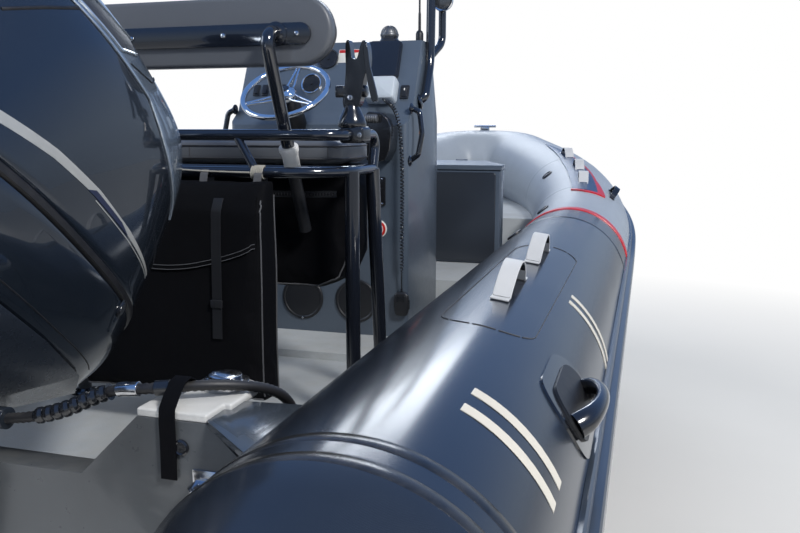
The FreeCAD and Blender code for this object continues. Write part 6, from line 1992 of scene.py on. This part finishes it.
def speaker(x, label):
    place = basis((x, CONSOLE_AFT, 1.074), (0, -1, 0), (1, 0, 0))
    Shape().lathe([(0.092, 0.0), (0.092, 0.005), (0.089, 0.0085), (0.082, 0.0095), (0.078, 0.007),
        (0.06, 0.009), (0.03, 0.0105), (0.004, 0.011)], place, 80).object("speaker_cover_" +
        label, MOULD_BLACK, angle=30)
    Shape().screw(place @ Vector((0, -0.0855, 0.0088)), (0, -1, 0),
        0.0042).object("speaker_screw_" + label, STAINLESS)


def console_fittings():
    axis = WHEEL_AXIS
    place = basis(WHEEL - axis * 0.225, axis, (1, 0, 0))
    Shape().lathe([(0.045, 0.0), (0.045, 0.12), (0.043, 0.15), (0.036, 0.18), (0.032, 0.19),
        (0.0125, 0.19), (0.0122, 0.222)], place, 48).object("helm_boss", MOULD_BLACK,
        replaces=("console_fittings",), angle=30)
    speaker(-0.071, "port")
    speaker(0.17, "starboard")
    place = basis((0.2815, CONSOLE_AFT, 1.5335), (0, -1, 0), (1, 0, 0))
    slab(Shape(), 0.037, 0.118, 0.0075, 0.007, place, 0.0015).object("latch_plate", MOULD_GLOSS)
    screws = Shape()
    for dz in (-0.05, -0.038, 0.038, 0.05):
        screws.screw(place @ Vector((0.006 if abs(dz) > 0.045 else -0.006, dz, 0.0072)),
            (0, -1, 0), 0.0038)
    screws.object("latch_screws", STAINLESS)
    disc = basis((0.267, CONSOLE_AFT, 1.38), (0, -1, 0), (1, 0, 0))
    switch = Shape()
    switch.lathe([(0.0355, 0.0), (0.0355, 0.008), (0.033, 0.011), (0.0255, 0.0115)], disc, 56)
    switch.lathe([(0.0205, 0.01), (0.0195, 0.02), (0.017, 0.022), (0.002, 0.0215)], disc, 40)
    slab(switch, 0.04, 0.011, 0.0225, 0.004, disc @ Matrix.Rotation(radians(35), 4, "Z"), 0.0015,
        0.01)
    switch.object("battery_switch", SWITCH_RED, angle=30)
    ring = Shape()
    ring.lathe([(0.0255, 0.0105), (0.025, 0.0128), (0.0225, 0.0128), (0.0215, 0.0105)], disc, 48)
    ring.lathe([(0.038, 0.0), (0.038, 0.007), (0.0362, 0.0092), (0.0352, 0.0092)], disc, 56)
    ring.object("battery_switch_ring", DIAL_MARK)


def control_box():
    """Engine control: rounded housing, hub, short lever and ribbed cross grip."""
    outline = [(0.25, 1.664), (0.256, 1.659), (0.3, 1.657), (0.325, 1.66), (0.345, 1.7),
        (0.352, 1.76), (0.35, 1.792), (0.338, 1.822), (0.314, 1.844), (0.262, 1.85),
        (0.251, 1.842)]
    turn = Matrix.Rotation(radians(90), 4, "X")
    Shape().prism(outline, 0.15, shifted((0, -0.78, 0)) @ turn).object("control_housing",
        MOULD_GLOSS, bevel=0.008, segments=4, replaces=("control_box",), angle=35)
    pivot = Vector((0.238, -0.88, 1.79))
    end = pivot + Vector((0, -0.07, 0.032))
    lever = Shape()
    lever.lathe([(0.024, 0.0), (0.0275, 0.004), (0.0275, 0.024)], basis(pivot -
        Vector((0.01, 0, 0)), (1, 0, 0)), 40)
    lever.pipe([pivot, end], 0.0088, 16)
    lever.object("control_lever", MOULD_BLACK)
    line = [end + Vector((dx, 0, 0)) for dx in span(-0.005, 0.067, 36)]
    radii = [0.0165 if k % 4 < 2 else 0.0148 for k in range(37)]
    Shape().pipe(line, [0.012] + radii[1:-1] + [0.012], 28).object("control_grip", STAINLESS_DULL,
        angle=25)


def console_rails():
    """Black handrails, the tall hoop and its side loops."""
    x = 0.39
    hoop_x, loop_x = x + 0.021, x + 0.05
    shape = Shape()
    for side in (1, -1):
        def turned(points):
            return [(side * px, py, pz) for px, py, pz in points]
        hand = turned([(x - 0.004, -0.778, 1.867), (x + 0.036, -0.78, 1.85),
            (x + 0.05, -0.79, 1.765), (x + 0.036, -0.798, 1.68), (x - 0.004, -0.8, 1.651)])
        shape.pipe(rounded_path(hand, [0.026, 0.09, 0.026], radians(6)), 0.011, 20)
        loop = turned([(hoop_x, -0.551, 2.085), (loop_x, -0.47, 2.145), (loop_x, -0.47, 2.35),
            (hoop_x, -0.546, 2.44)])
        shape.pipe(rounded_path(loop, 0.06, radians(6)), 0.016, 24)
        for y, z in ((-0.779, 1.864), (-0.8, 1.656)):
            shape.lathe([(0.021, 0.0), (0.021, 0.004), (0.014, 0.008), (0.0112, 0.012)],
                basis((side * x, y, z), (side, 0, 0)), 28)
        shape.lathe([(0.034, 0.0), (0.034, 0.005), (0.026, 0.01), (0.0195, 0.014)], basis((side *
            (x - 0.001), -0.657, 1.895), (side, 0.3, 0.3)), 32)
    half = [(x - 0.004, -0.656, 1.896), (x + 0.022, -0.645, 1.915), (hoop_x, -0.56, 2.06),
        (hoop_x, -0.54, 2.52)]
    hoop = half + [(-px, py, pz) for px, py, pz in reversed(half)]
    shape.pipe(rounded_path(hoop, [0.03, 0.22, 0.12, 0.12, 0.22, 0.03], radians(5)), 0.019, 28)
    shape.object("console_rail_tubes", FRAME_BLACK, replaces=("console_rails",), angle=50)
    slab(Shape(), 0.032, 0.075, 0.0006, 0.003, basis((0.39, -0.64, 1.765), (1, 0, 0), (0, 1, 0)),
        0.0002).object("console_sticker_bare", STICKER)


def lamps_and_whip():
    light_at = shifted((0, -0.54, 2.5392))
    place = basis((0.451, -0.4863, 2.316), (0, -1, 0), (1, 0, 0))
    Shape().lathe([(0.02, 0.0), (0.038, 0.006), (0.044, 0.014), (0.046, 0.026), (0.0455, 0.036),
        (0.043, 0.038), (0.0385, 0.035), (0.038, 0.028)], place, 56).object("spot_lamp_case",
        CHROME, replaces=("mast_light",), angle=30)
    Shape().lathe([(0.0382, 0.022), (0.0382, 0.03), (0.03, 0.0335), (0.018, 0.0352),
        (0.002, 0.0356)], place, 48).object("spot_lamp_lens", LENS_DARK)
    mast = Shape()
    mast.lathe([(0.012, 0.0), (0.012, 0.056), (0.018, 0.06), (0.026, 0.066), (0.026, 0.074)],
        light_at, 36)
    mast.lathe([(0.026, 0.126), (0.026, 0.134), (0.022, 0.139), (0.004, 0.1398)], light_at, 36)
    mast.object("round_light_mast", MOULD_BLACK, angle=30)
    Shape().lathe([(0.0235, 0.073), (0.024, 0.08), (0.024, 0.12), (0.0235, 0.127)], light_at,
        36).object("round_light_glass", LENS_CLEAR)
    whip_at = shifted((0.368, -0.574, ROOF_Z))
    Shape().lathe([(0.016, 0.0), (0.016, 0.03), (0.0125, 0.04), (0.006, 0.045), (0.0055, 0.11),
        (0.004, 0.12), (0.003, 0.99), (0.001, 0.994)], whip_at, 20).object("whip_antenna_rod",
        MOULD_BLACK, replaces=("whip_antenna",), angle=40)


instruments()
compass()
console_fittings()
control_box()
console_rails()
lamps_and_whip()
